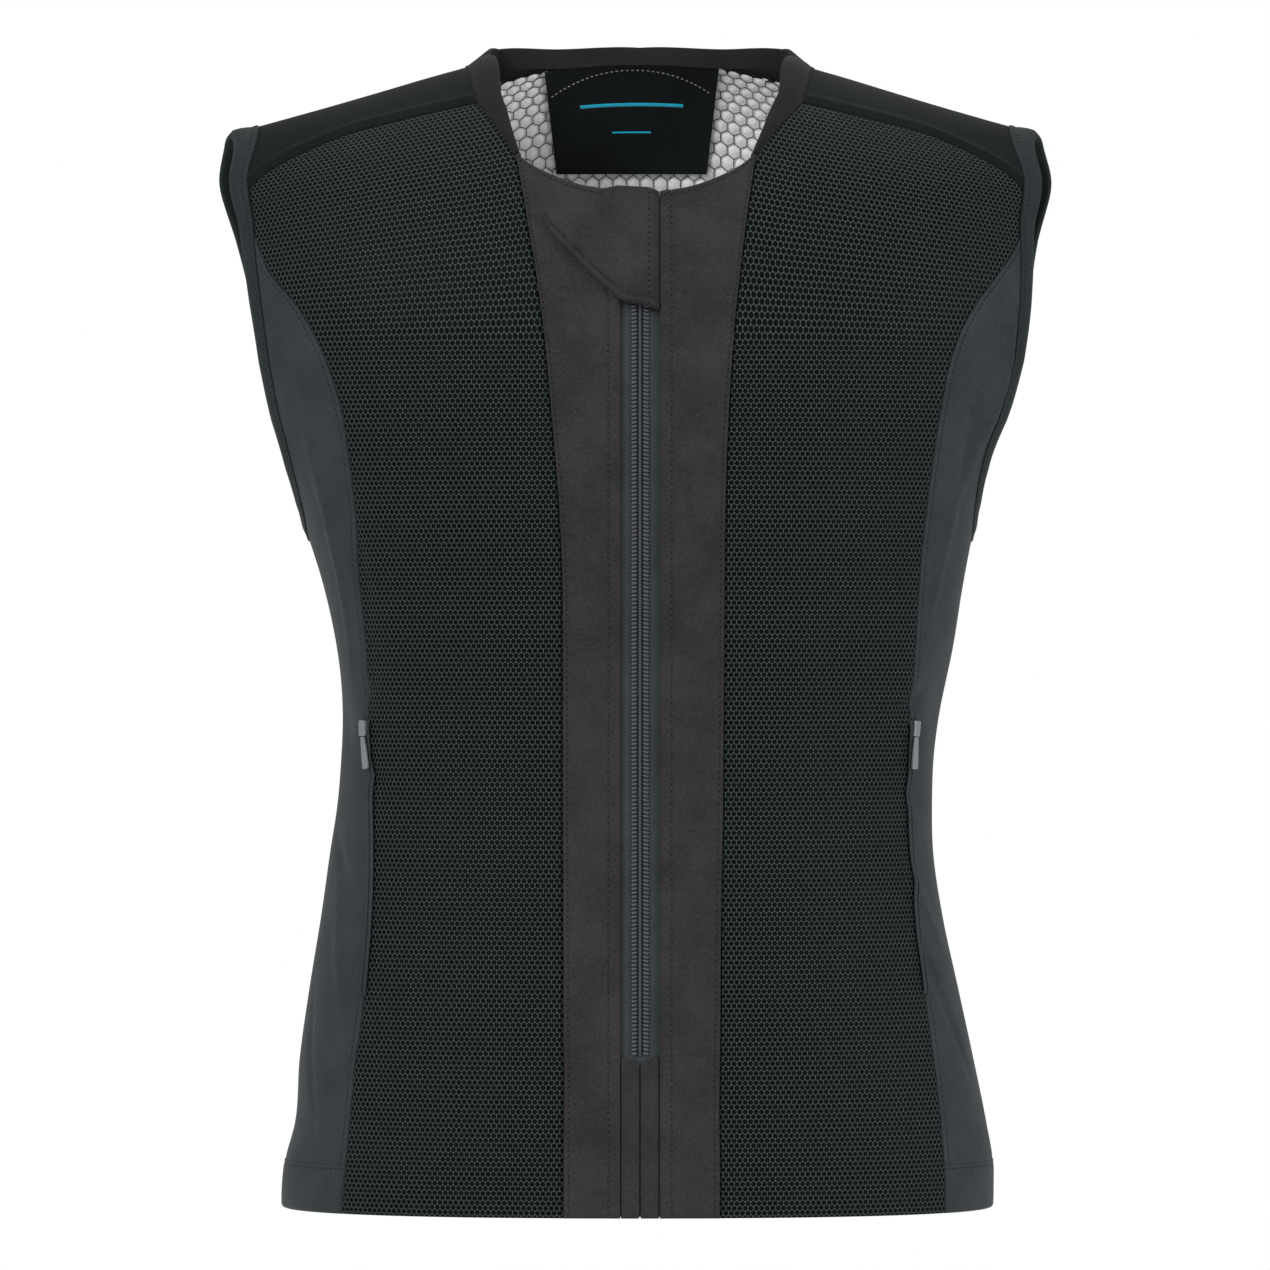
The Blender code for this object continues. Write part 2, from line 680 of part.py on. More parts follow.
def side_pieces(side, vest):
    """The side panel between its two seams under the armhole, and its hem band."""
    front, back = side_seam(side), side_seam_behind(side)
    top = armhole_run(side, -SEAM_STATION, SEAM_STATION)[::-1]
    columns = len(top) - 1
    panel = patch(between(front[1], back[1], columns), top, front[1:], back[1:])
    cloth("side_panel", side, panel, SOFTSHELL_WALL, SOFTSHELL, vest)
    hem = patch(between(front[0], back[0], columns), panel[0], front[:2], back[:2])
    cloth("side_hem", side, hem, SOFTSHELL_WALL + TRIM_LIFT / 2, SOFTSHELL, vest, TRIM_LIFT / 2)


def back_half(side):
    """Places of one half of the back: from its middle to the side, from the hem up to the yoke."""
    neck, seam = neck_behind(side), yoke_seam_back(side)
    side_edge = np.concatenate([side_seam_behind(side),
                                armhole_run(side, -YOKE_STATION, -SEAM_STATION)[::-1][1:]])
    climbs = heights_up_to(neck[0][1])
    rows = np.interp(np.linspace(0, 1, len(side_edge)), np.linspace(0, 1, len(climbs)), climbs)
    rows[1] = climbs[1]
    middle = np.stack([np.full(len(rows), math.pi), rows], axis=-1)
    top = np.concatenate([neck, seam[1:]])
    bottom = between(middle[0], side_edge[0], len(top) - 1)
    return patch(bottom, top, middle, side_edge)


def across_back(lift, thickness):
    """A wall right across the back: its outer and inner points from one side seam to the other."""
    halves = []
    for side in (RIGHT, LEFT):
        grid = drawn_in(side, back_half(side), GAP / 2, ("bottom", "top", "right"))
        halves.append(wall(side, grid, lift, thickness))
    return [np.concatenate([halves[0][k][:, ::-1], halves[1][k][:, 1:]], axis=1) for k in (0, 1)]


def back_pieces(vest):
    """The plain back panel, the lining on its inside and the facing inside the neck."""
    outer, inner = across_back(0.0, BACK_WALL)
    sheet("back_panel", outer, inner, BLACK_MESH, vest)
    lining = across_back(-BACK_WALL - LAYER_GAP, LINING_WALL)
    sheet("back_lining", lining[0], lining[1], WHITE_PADDING, vest)
    back_facing(lining[1], vest)


def back_facing(lining_inside, vest):
    """The facing: a panel that lies on the lining's inside, from the neck edge down."""
    rows = len(lining_inside)
    middle = lining_inside.shape[1] // 2
    heights = lining_inside[:, middle, 2]
    low_row = np.interp(-FACING_DROP, heights, np.arange(rows))
    down = np.unique(np.append(np.arange(math.ceil(low_row), rows), low_row))
    points = []
    for k, row in enumerate(down):
        floor = min(int(row), rows - 2)
        line = lining_inside[floor] + (lining_inside[floor + 1] - lining_inside[floor]) * (row - floor)
        flare = 1 - FACING_TAPER * (1 - k / (len(down) - 1))
        reach = np.linspace(-1, 1, FACING_COLUMNS + 1) * FACING_HALF * flare - FACING_ASIDE
        where = np.interp(reach, line[:, 0], np.arange(len(line)))
        low = np.minimum(where.astype(int), len(line) - 2)
        points.append(line[low] + (line[low + 1] - line[low]) * (where - low)[:, None])
    points = np.array(points)
    normal = np.cross(np.gradient(points, axis=0), np.gradient(points, axis=1))
    normal /= np.linalg.norm(normal, axis=-1, keepdims=True)
    normal *= -np.sign(normal[..., 1:2])
    outer = points + normal * LAYER_GAP
    sheet("back_neck_facing", outer, outer + normal * FACING_WALL, BLACK_CLOTH, vest)


def armhole_binding(side, vest):
    """The band that is sewn round an armhole's edge."""
    edge = armhole_loop(side, 0.0)
    shoulder = armhole_loop(side, BINDING_WIDTH * BINDING_ROUND)
    inner = armhole_loop(side, BINDING_WIDTH - GAP)
    rings = []
    for places, offset in ((edge, -BINDING_WALL / 2), (shoulder, TRIM_LIFT), (inner, TRIM_LIFT),
                           (inner, TRIM_LIFT - BINDING_WALL), (shoulder, TRIM_LIFT - BINDING_WALL)):
        rings.append(placed(side, places, np.full(len(places), offset)))
    band(f"armhole_binding_{SIDE_NAMES[side]}", np.stack(rings, axis=1), BINDING_KNIT, vest, True)


def neck_band(vest):
    """The band that stands round the neck, from one placket over the back to the other."""
    edges, normals, shares = [], [], []
    for side in (RIGHT, LEFT):
        over = neck_over(side)[1:]
        over[YOKE_ROWS // 2:] = over_shoulder(over[YOKE_ROWS // 2:])
        path = np.concatenate([neck_front(side), over, neck_behind(side)[::-1][1:]])
        rise = np.minimum(np.arange(len(path)) / (NECK_ROWS + 1), 1.0)
        order = slice(None) if side == RIGHT else slice(-2, None, -1)
        edges.append(surface(side, path[:, 0], path[:, 1])[order])
        normals.append(directions(side, path[:, 0], path[:, 1])[2][order])
        shares.append((BAND_END_SHARE + (1 - BAND_END_SHARE) * rise)[order])
    edge, normal, share = (np.concatenate(part) for part in (edges, normals, shares))
    way_in = np.cross(normal, np.gradient(edge, axis=0))
    way_in /= np.linalg.norm(way_in, axis=1, keepdims=True)
    way_in *= np.sign((way_in * (np.mean(edge, axis=0) - edge)).sum(1))[:, None]
    lean = np.radians(BAND_LEAN_FRONT + (BAND_LEAN - BAND_LEAN_FRONT) * share)[:, None]
    up = normal * np.cos(lean) + way_in * np.sin(lean)
    foot = edge + way_in * GAP
    tall = BAND_HEIGHT * share[:, None]
    rings = np.stack([foot - normal * BAND_FOOT, foot, foot + up * tall,
                      foot + up * tall + way_in * BAND_WALL,
                      foot + way_in * BAND_WALL - normal * BAND_FOOT], axis=1)
    band("neck_band", rings, CHARCOAL, vest, False)


def placket(side, vest):
    """The strip beside the main zip, from the neckline to the hem."""
    outer_edge = placket_edge(side)
    heights = heights_up_to(-NECK_FRONT_DROP)
    inner_edge = front_place(side, np.full(len(heights), side * ZIP_OPENING / 2), heights)
    across = np.linspace(0, 1, PLACKET_COLUMNS + 1)
    fall = smooth(NECKLINE, NECKLINE_COLUMNS, "fall", "across", across)
    x = surface(side, *outer_edge[-1])[0] * across + side * ZIP_OPENING / 2 * (1 - across)
    top = front_place(side, x, -NECK_CORNER_DROP - (NECK_FRONT_DROP - NECK_CORNER_DROP) * fall)
    top[0], top[-1] = inner_edge[-1], outer_edge[-1]
    bottom = between(inner_edge[0], outer_edge[0], PLACKET_COLUMNS)
    grid = patch(bottom, top, inner_edge, outer_edge)
    cloth("placket", side, grid, PLACKET_WALL, CHARCOAL, vest, TRIM_LIFT)


def strip(name, side, inner_x, outer_x, heights, top, thickness, finish, vest):
    """A strip up the middle of the front between two distances from the middle line."""
    grid = np.stack([front_place(side, np.full(len(heights), side * x), heights)
                     for x in (inner_x, outer_x)], axis=1)
    outer, inner = wall(side, grid, top, thickness)
    return sheet(f"{name}_{SIDE_NAMES[side]}", outer, inner, finish, vest)


def row_heights(low, high):
    """The placket's row heights that lie between two heights, with both ends."""
    rows = heights_up_to(-NECK_FRONT_DROP)
    return np.concatenate([[low], rows[(rows > low + ROW_MERGE) & (rows < high - ROW_MERGE)], [high]])


TAPE_TOP = TRIM_LIFT - PLACKET_WALL - LAYER_GAP
COIL_TOP = TAPE_TOP + GAP + COIL_HEIGHT


def main_zip(side, vest):
    """One half of the main zip: its tape, its coil and the tab over its lower end."""
    tape_rows = row_heights(-LENGTH + TAPE_HEM_GAP, -NECK_FRONT_DROP - TAPE_HEM_GAP)
    strip("zip_tape", side, GAP / 2, ZIP_OPENING / 2 + TAPE_UNDERLAP, tape_rows,
          TAPE_TOP, TAPE_WALL, TAPE_CLOTH, vest)
    coil_middle = COIL_SPACING / 2
    coil_rows = row_heights(-ZIP_END_DROP, -ZIP_TOP_DROP)
    strip("zip_coil", side, coil_middle - COIL_WIDTH / 2, coil_middle + COIL_WIDTH / 2, coil_rows,
          COIL_TOP, COIL_HEIGHT, COIL_NYLON, vest)
    tab_rows = row_heights(-LENGTH, -ZIP_END_DROP - GAP)
    inner_rows = np.append(tab_rows[:-1], tab_rows[-1] - TAB_SLANT)
    edges = [front_place(side, np.full(len(rows), side * x), rows)
             for x, rows in ((GAP, inner_rows), (ZIP_OPENING / 2 - GAP, tab_rows))]
    outer, inner = wall(side, np.stack(edges, axis=1), TAPE_TOP + GAP + TAB_WALL, TAB_WALL)
    sheet(f"zip_end_tab_{SIDE_NAMES[side]}", outer, inner, CHARCOAL, vest)


def zip_flap(vest):
    """The three-cornered flap that is sewn beside the zip and lies over its top."""
    slider_top = COIL_TOP + GAP + ZIP_SLIDER_HEIGHT
    room = slider_top + FLAP_CLEARANCE + FLAP_WALL - TRIM_LIFT
    across = column(FLAP, FLAP_COLUMNS, "across")
    x = ZIP_OPENING / 2 - GAP - FLAP_LENGTH * across
    upper = -NECK_FRONT_DROP - FLAP_HEIGHT * column(FLAP, FLAP_COLUMNS, "upper")
    lower = -NECK_FRONT_DROP - FLAP_HEIGHT * column(FLAP, FLAP_COLUMNS, "lower")
    share = np.linspace(0, 1, FLAP_ROWS + 1)[:, None]
    heights = lower * (1 - share) + upper * share
    places = front_place(RIGHT, np.broadcast_to(x, heights.shape), heights)
    lift = np.broadcast_to(TRIM_LIFT + room * column(FLAP, FLAP_COLUMNS, "lift"), heights.shape)
    outer, inner = wall(RIGHT, places, lift, FLAP_WALL)
    sheet("zip_flap", outer, inner, CHARCOAL, vest)


def frame_at(side, place, lift):
    """A matrix whose Z points out of the surface at a place and whose Y runs up along it."""
    place = np.array(place, float)
    _, by_climb, normal = directions(side, place[0], place[1])
    out = Vector(normal)
    up = Vector(by_climb).normalized()
    right = up.cross(out)
    turn = Matrix((right, up, out)).transposed().to_4x4()
    return Matrix.Translation(Vector(surface(side, *place)) + out * lift) @ turn


def block(name, size, where, finish, vest):
    """A block with rounded edges that stands on its frame's plane."""
    width, length, height = size
    bm = bmesh.new()
    bmesh.ops.create_cube(bm, size=1)
    bmesh.ops.scale(bm, vec=(width, length, height), verts=bm.verts)
    bmesh.ops.translate(bm, vec=(0, 0, height / 2), verts=bm.verts)
    mesh = bpy.data.meshes.new(name)
    bm.to_mesh(mesh)
    bm.free()
    piece = new_object(name, mesh, finish, vest)
    rounding = piece.modifiers.new("rounded edges", "BEVEL")
    rounding.width = min(size) * BLOCK_ROUNDING
    rounding.segments = 2
    piece.matrix_world = where
    return piece


def zip_slider(vest):
    """The main zip's slider, closed at the top of the coils under the flap."""
    height = -ZIP_TOP_DROP - ZIP_SLIDER_LENGTH / 2
    place = front_place(RIGHT, np.array(0.0), np.array(height))
    block("zip_slider", (ZIP_SLIDER_WIDTH, ZIP_SLIDER_LENGTH, ZIP_SLIDER_HEIGHT),
          frame_at(RIGHT, place, COIL_TOP + GAP), GREY_METAL, vest)


def pocket_zip(side, vest):
    """The narrow zip on the side seam, with its slider and its pull at the top."""
    low = -POCKET_TOP_DROP - POCKET_LENGTH
    heights = np.linspace(low, -POCKET_TOP_DROP, POCKET_ROWS + 1)
    seam = front_place(side, seam_x("side", side, heights), heights)
    _, _, normal = directions(side, seam[:, 0], seam[:, 1])
    up = np.gradient(surface(side, seam[:, 0], seam[:, 1]), axis=0)
    aside = np.cross(normal, up)
    aside /= np.linalg.norm(aside, axis=1, keepdims=True)
    half = np.full(len(seam), POCKET_ZIP_WIDTH / 2)
    grid = np.stack([shifted(side, seam, aside * way, half) for way in (-1, 1)], axis=1)
    name = SIDE_NAMES[side]
    outer, inner = wall(side, grid, SEAM_COVER_LIFT + POCKET_ZIP_WALL, POCKET_ZIP_WALL)
    sheet(f"pocket_zip_{name}", outer, inner, TAPE_CLOTH, vest)
    top = SEAM_COVER_LIFT + POCKET_ZIP_WALL + GAP
    head_height = -POCKET_TOP_DROP - POCKET_SLIDER_LENGTH / 2
    head = front_place(side, seam_x("side", side, np.array(head_height)), np.array(head_height))
    block(f"pocket_slider_{name}", (POCKET_SLIDER_WIDTH, POCKET_SLIDER_LENGTH, POCKET_SLIDER_HEIGHT),
          frame_at(side, head, top), GREY_METAL, vest)
    pull_height = head_height - POCKET_SLIDER_LENGTH / 2 - GAP - PULL_LENGTH / 2
    middle = front_place(side, seam_x("side", side, np.array(pull_height)), np.array(pull_height))
    pocket_puller(f"pocket_puller_{name}", frame_at(side, middle, top + LAYER_GAP), vest)


def pocket_puller(name, where, vest):
    """A flat pull that lies on its frame's plane: narrow at the top and round at its lower end."""
    outline = bpy.data.curves.new(name, "CURVE")
    outline.dimensions = "2D"
    outline.fill_mode = "BOTH"
    outline.extrude = PULL_THICKNESS / 2
    line = outline.splines.new("POLY")
    half = PULL_WIDTH / 2
    turns = np.linspace(0, math.pi, PULL_SIDES + 1)
    top = PULL_LENGTH / 2
    points = [(-half * PULL_NECK_SHARE, top), (half * PULL_NECK_SHARE, top)]
    points += [(half * math.cos(t), half - top - half * math.sin(t)) for t in turns]
    line.points.add(len(points) - 1)
    for point, (x, y) in zip(line.points, points):
        point.co = (x, y, 0, 1)
    line.use_cyclic_u = True
    piece = bpy.data.objects.new(name, outline)
    outline.materials.append(new_material(GREY_METAL))
    piece.matrix_world = where @ Matrix.Translation((0, 0, PULL_THICKNESS / 2))
    vest.objects.link(piece)


def main():
    for old in list(bpy.data.objects):
        bpy.data.objects.remove(old)
    vest = bpy.data.collections.new("airbag_vest")
    bpy.context.scene.collection.children.link(vest)
    for side in (RIGHT, LEFT):
        front_mesh(side, vest)
        shoulder_yoke(side, vest)
        side_pieces(side, vest)
        armhole_binding(side, vest)
        placket(side, vest)
        main_zip(side, vest)
        pocket_zip(side, vest)
    back_pieces(vest)
    neck_band(vest)
    zip_flap(vest)
    zip_slider(vest)


main()
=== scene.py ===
"""A motorcycle airbag vest, dressed: its cloth, stitching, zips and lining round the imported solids.

Every cloth piece is a grid of places on one body surface, the same one that the solids stand on. A
place is an angle round the body, from 0 at the middle of the front to pi at the middle of the back,
and a climb, which is the height up to where the chest curves over and then a measure along that
curve. A climb past RIDGE_CLIMB runs down the back. Sides are the wearer's: right is -X.
"""

import math

import bpy
import numpy as np
from mathutils import Matrix, Vector


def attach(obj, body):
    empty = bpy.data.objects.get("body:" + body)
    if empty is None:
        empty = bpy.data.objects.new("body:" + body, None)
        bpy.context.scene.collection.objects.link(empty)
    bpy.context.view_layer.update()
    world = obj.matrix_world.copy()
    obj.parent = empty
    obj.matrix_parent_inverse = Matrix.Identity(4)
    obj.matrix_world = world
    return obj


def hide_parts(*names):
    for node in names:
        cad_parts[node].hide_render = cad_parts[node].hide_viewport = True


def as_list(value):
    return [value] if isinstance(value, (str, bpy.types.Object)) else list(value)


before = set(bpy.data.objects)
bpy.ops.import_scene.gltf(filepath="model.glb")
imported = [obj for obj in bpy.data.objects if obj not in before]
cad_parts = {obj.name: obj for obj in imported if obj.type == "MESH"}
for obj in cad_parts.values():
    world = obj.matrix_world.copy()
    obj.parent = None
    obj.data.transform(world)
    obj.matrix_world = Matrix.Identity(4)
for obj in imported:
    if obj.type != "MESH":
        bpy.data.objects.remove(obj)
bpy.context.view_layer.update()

bl_info = {
    "name": "Airbag vest",
    "version": (1, 0, 0),
    "blender": (4, 5, 0),
    "location": "View3D > Sidebar > Vest",
    "description": "Cloth, stitching, zips and lining of a motorcycle airbag vest",
    "category": "Object",
}

# Body, the same sizes as the solids
LENGTH = 0.608
HALF_SPAN = 0.2195
FRONT_DEPTH = 0.122
BACK_DEPTH = 0.108
SHOULDER_DROP = 0.0407
CURVE_START_DROP = 0.150
CURVE_OVER = 0.170
BODY_ROUNDNESS = 2.35
SHOULDER_ROUNDNESS = 1.8
KNEE = -CURVE_START_DROP
RIDGE_CLIMB = KNEE + CURVE_OVER

# Cloth thicknesses
MESH_WALL = 0.0050
BACK_WALL = 0.0030
SOFTSHELL_WALL = 0.0028
PLACKET_WALL = 0.0026
LINING_WALL = 0.0018
FACING_WALL = 0.0012
FLAP_WALL = 0.0022
BAND_WALL = 0.0028
TAPE_WALL = 0.0011
TAB_WALL = 0.0016

# Neck, armholes and hem
NECK_FRONT_DROP = 0.0707
NECK_CORNER_DROP = 0.0500
NECK_YOKE_DROP = 0.0212
NECK_BACK_DROP = -0.0098
NECK_BACK_YOKE_DROP = 0.0036
NECK_HALF = 0.0925
NECK_YOKE_HALF = 0.0855
NECK_BACK_HALF = 0.0800
ARMHOLE_DEPTH = 0.2414
BINDING_WIDTH = 0.0125
BINDING_WALL = 0.0042
HEM_BAND = 0.0255

# Main zip, its flap, the facing and the pocket zips
ZIP_OPENING = 0.0206
TAPE_UNDERLAP = 0.0060
COIL_WIDTH = 0.0034
COIL_HEIGHT = 0.0018
COIL_SPACING = 0.0063
ZIP_TOP_DROP = 0.0760
ZIP_END_DROP = 0.5230
TAPE_HEM_GAP = 0.0008
TAPE_NECK_GAP = 0.0012
TAB_SLANT = 0.0035
ZIP_SLIDER_HEIGHT = 0.0018
FLAP_LENGTH = 0.0607
FLAP_HEIGHT = 0.0628
FACING_HALF = 0.0480
FACING_DROP = 0.0500
FACING_ASIDE = 0.0045
FACING_TAPER = 0.14
POCKET_TOP_DROP = 0.3480
POCKET_LENGTH = 0.1450
POCKET_ZIP_WIDTH = 0.0044
POCKET_ZIP_WALL = 0.0014
POCKET_SLIDER_LENGTH = 0.0085
PULL_LENGTH = 0.0170
PULL_WIDTH = 0.0048

# Clearances and lifts
GAP = 0.0003
TRIM_LIFT = 0.0009
LAYER_GAP = 0.0005
SEAM_COVER_LIFT = 0.0005
FLAP_CLEARANCE = 0.0009
TAPE_TOP = TRIM_LIFT - PLACKET_WALL - LAYER_GAP
COIL_TOP = TAPE_TOP + GAP + COIL_HEIGHT

SECTION_COLUMNS = ("drop", "right", "left", "front", "back")
SECTIONS = (
    (-0.05, 1.010, 0.985, 0.95, 0.93),
    (0.067, 1.018, 0.989, 0.95, 0.95),
    (0.099, 1.030, 1.008, 0.96, 0.96),
    (0.151, 0.992, 0.978, 0.98, 0.98),
    (0.194, 0.963, 0.962, 0.99, 0.99),
    (0.238, 0.936, 0.943, 1.00, 1.00),
    (0.294, 0.903, 0.904, 1.00, 1.00),
    (0.346, 0.862, 0.848, 0.98, 0.98),
    (0.397, 0.820, 0.817, 0.95, 0.94),
    (0.459, 0.767, 0.784, 0.90, 0.87),
    (0.503, 0.741, 0.765, 0.87, 0.82),
    (0.572, 0.724, 0.728, 0.84, 0.77),
    (0.607, 0.727, 0.716, 0.83, 0.76),
    (0.650, 0.737, 0.711, 0.83, 0.77),
    (0.685, 0.752, 0.713, 0.84, 0.79),
    (0.746, 0.776, 0.737, 0.86, 0.84),
    (0.806, 0.803, 0.773, 0.88, 0.90),
    (0.871, 0.828, 0.812, 0.90, 0.96),
    (0.928, 0.840, 0.844, 0.92, 1.00),
    (0.958, 0.862, 0.858, 0.93, 1.02),
    (0.980, 0.869, 0.859, 0.93, 1.03),
    (1.050, 0.859, 0.849, 0.93, 1.03),
)

RIDGE_COLUMNS = ("reach", "drop")
RIDGE = (
    (-0.20, -0.36),
    (0.00, -0.45),
    (0.20, -0.36),
    (0.36, -0.08),
    (0.50, 0.14),
    (0.64, 0.37),
    (0.79, 0.61),
    (0.93, 0.82),
    (1.00, 0.90),
)

ARMHOLE_COLUMNS = ("rise", "front", "back")
ARMHOLE = (
    (0.000, 0.0, 0.0),
    (0.030, 7.5, 7.5),
    (0.100, 13.5, 13.5),
    (0.200, 18.0, 18.0),
    (0.320, 21.0, 20.5),
    (0.440, 22.5, 20.5),
    (0.556, 23.5, 19.5),
    (0.610, 24.0, 18.5),
    (0.669, 24.0, 18.0),
    (0.760, 24.0, 17.0),
    (0.850, 23.5, 17.0),
    (0.930, 22.0, 18.0),
    (1.000, 20.0, 20.0),
)
SEAM_TURN = math.sqrt(0.556)
YOKE_TURN = math.sqrt(0.669)

SEAM_COLUMNS = ("drop", "side_right", "side_left", "placket_right", "placket_left")
SEAMS = (
    (0.050, 0.960, 0.930, 0.315, 0.295),
    (0.081, 0.955, 0.920, 0.298, 0.279),
    (0.164, 0.925, 0.893, 0.258, 0.246),
    (0.188, 0.892, 0.848, 0.247, 0.238),
    (0.210, 0.837, 0.803, 0.239, 0.231),
    (0.232, 0.798, 0.769, 0.230, 0.225),
    (0.256, 0.764, 0.744, 0.223, 0.220),
    (0.294, 0.726, 0.723, 0.214, 0.213),
    (0.364, 0.695, 0.697, 0.197, 0.205),
    (0.433, 0.683, 0.677, 0.186, 0.202),
    (0.511, 0.661, 0.664, 0.184, 0.201),
    (0.574, 0.655, 0.654, 0.184, 0.200),
    (0.650, 0.646, 0.648, 0.184, 0.198),
    (0.711, 0.645, 0.657, 0.183, 0.195),
    (0.806, 0.662, 0.686, 0.183, 0.192),
    (0.891, 0.690, 0.716, 0.182, 0.190),
    (0.956, 0.707, 0.732, 0.182, 0.190),
    (1.050, 0.728, 0.735, 0.182, 0.190),
)

YOKE_SEAM_COLUMNS = ("across", "fall")
YOKE_SEAM = (
    (0.00, 0.00),
    (0.32, 0.19),
    (0.62, 0.41),
    (0.74, 0.55),
    (0.86, 0.71),
    (0.95, 0.87),
    (1.00, 1.00),
)

NECKLINE_COLUMNS = ("across", "fall")
NECKLINE = ((0.00, 1.00), (0.33, 0.86), (0.60, 0.62), (0.82, 0.34), (1.00, 0.00))

FLAP_COLUMNS = ("across", "upper", "lower", "lift")
FLAP = (
    (0.00, 0.010, 1.000, 0.00),
    (0.06, 0.008, 0.992, 0.85),
    (0.18, 0.000, 0.966, 1.00),
    (0.35, -0.012, 0.916, 0.90),
    (0.47, -0.020, 0.815, 0.84),
    (0.61, -0.045, 0.690, 0.80),
    (0.74, -0.040, 0.563, 0.78),
    (0.87, 0.030, 0.437, 0.76),
    (0.95, 0.090, 0.345, 0.76),
    (1.00, 0.170, 0.235, 0.76),
)

# The neck band: way is 0 at the placket's corner, 1 on the shoulder line and 2 at the middle of the
# back. Outside is how far it lies on the cloth, width how far it stands up past the cloth's edge,
# inside how far it runs down within, and lean its degrees from the cloth's outward direction towards
# the neck.
BAND_COLUMNS = ("way", "outside", "width", "lean", "inside")
BAND = (
    (0.00, 0.0012, 0.0012, 86.0, 0.0040),
    (0.18, 0.0012, 0.0040, 82.0, 0.0060),
    (0.35, 0.0012, 0.0078, 76.0, 0.0075),
    (0.75, 0.0012, 0.0145, 70.0, 0.0110),
    (1.00, 0.0014, 0.0130, 76.0, 0.0140),
    (1.12, 0.0040, 0.0128, 60.0, 0.0130),
    (1.35, 0.0090, 0.0130, 40.0, 0.0120),
    (1.65, 0.0120, 0.0044, 36.0, 0.0105),
    (2.00, 0.0130, 0.0012, 30.0, 0.0095),
)

# Hollows, and ridges where the depth is negative: the first six are the solids' own. Angle is in
# degrees round the body, drop a share of LENGTH, slope the degrees that the line rises towards the
# back, reach and width half lengths as shares of HALF_SPAN, depth a share of MESH_WALL.
FOLD_COLUMNS = ("side", "angle", "drop", "slope", "reach", "width", "depth")
FOLDS = (
    (-1, 75.0, 0.585, 35.0, 0.20, 0.100, 0.40),
    (1, 74.0, 0.560, -20.0, 0.20, 0.100, 0.40),
    (-1, 40.0, 0.520, 70.0, 0.36, 0.130, 0.40),
    (1, 40.0, 0.540, 75.0, 0.36, 0.130, 0.40),
    (-1, 150.0, 0.560, 10.0, 0.40, 0.120, 0.40),
    (1, 150.0, 0.600, 10.0, 0.40, 0.120, 0.40),
    (-1, 62.0, 0.400, -72.0, 0.26, 0.030, -0.44),
    (-1, 55.0, 0.440, -78.0, 0.20, 0.030, 0.27),
    (-1, 9.0, 0.800, 38.0, 0.14, 0.050, 0.16),
    (-1, 12.0, 0.880, 42.0, 0.14, 0.050, 0.16),
    (1, 11.0, 0.900, -40.0, 0.14, 0.050, 0.14),
    (-1, 60.0, 0.545, -20.0, 0.10, 0.022, 0.31),
    (-1, 58.0, 0.620, 15.0, 0.14, 0.026, 0.34),
    (-1, 66.0, 0.705, 30.0, 0.16, 0.030, 0.31),
    (-1, 60.0, 0.800, 55.0, 0.20, 0.030, -0.27),
    (-1, 70.0, 0.870, 60.0, 0.16, 0.028, 0.27),
    (1, 62.0, 0.258, -70.0, 0.09, 0.020, -0.41),
    (1, 64.0, 0.300, -74.0, 0.10, 0.018, -0.37),
    (1, 56.0, 0.302, -22.0, 0.10, 0.018, 0.44),
    (1, 60.0, 0.335, -60.0, 0.12, 0.020, 0.34),
    (1, 62.0, 0.420, 80.0, 0.20, 0.028, -0.31),
    (1, 58.0, 0.560, 20.0, 0.12, 0.024, 0.34),
    (1, 64.0, 0.640, -10.0, 0.14, 0.026, 0.31),
    (1, 62.0, 0.720, -35.0, 0.18, 0.030, -0.31),
    (1, 66.0, 0.820, -55.0, 0.18, 0.028, 0.31),
    (-1, 120.0, 0.430, 60.0, 0.20, 0.030, -0.34),
    (-1, 118.0, 0.560, 20.0, 0.16, 0.026, 0.34),
    (-1, 122.0, 0.690, -20.0, 0.18, 0.030, 0.31),
    (1, 120.0, 0.430, 62.0, 0.20, 0.030, -0.34),
    (1, 118.0, 0.580, 18.0, 0.16, 0.026, 0.34),
    (1, 122.0, 0.700, -24.0, 0.18, 0.030, 0.31),
)

# Edges of the sewn panels: how far from the edge the cloth turns down and how deep it goes there,
# how far in the stitch line is, if there is one, then how far in a raised line is and its height, and
# last how far the cloth runs on under the next panel.
EDGE_COLUMNS = ("turn", "depth", "stitch", "ridge", "height", "tuck")
PLAIN = (0.0, 0.0, 0.0, 0.0, 0.0, 0.0)
SEAM = (0.0022, 0.0013, 0.0, 0.0, 0.0, 0.0016)
TOPSTITCHED = (0.0014, 0.0009, 0.0032, 0.0018, 0.00025, 0.0010)
PIPED = (0.0016, 0.0010, 0.0, 0.0062, 0.0010, 0.0014)
COVERED = (0.0, 0.0, 0.0, 0.0, 0.0, 0.0014)
HEM = (0.0020, 0.0016, 0.0, 0.0, 0.0, 0.0)
STITCHED_HEM = (0.0008, 0.0006, 0.0020, 0.0, 0.0, 0.0)
OUTER_PLACKET = (0.0012, 0.0008, 0.0026, 0.0012, 0.00020, 0.0)
INNER_PLACKET = (0.0012, 0.0009, 0.0063, 0.0030, 0.00035, 0.0)
NECKLINE_EDGE = (0.0014, 0.0010, 0.0032, 0.0016, 0.00020, 0.0)

CHANNEL_WIDTH = 0.0007
CHANNEL_DEPTH = 0.00045
RIDGE_WIDTH = 0.0022

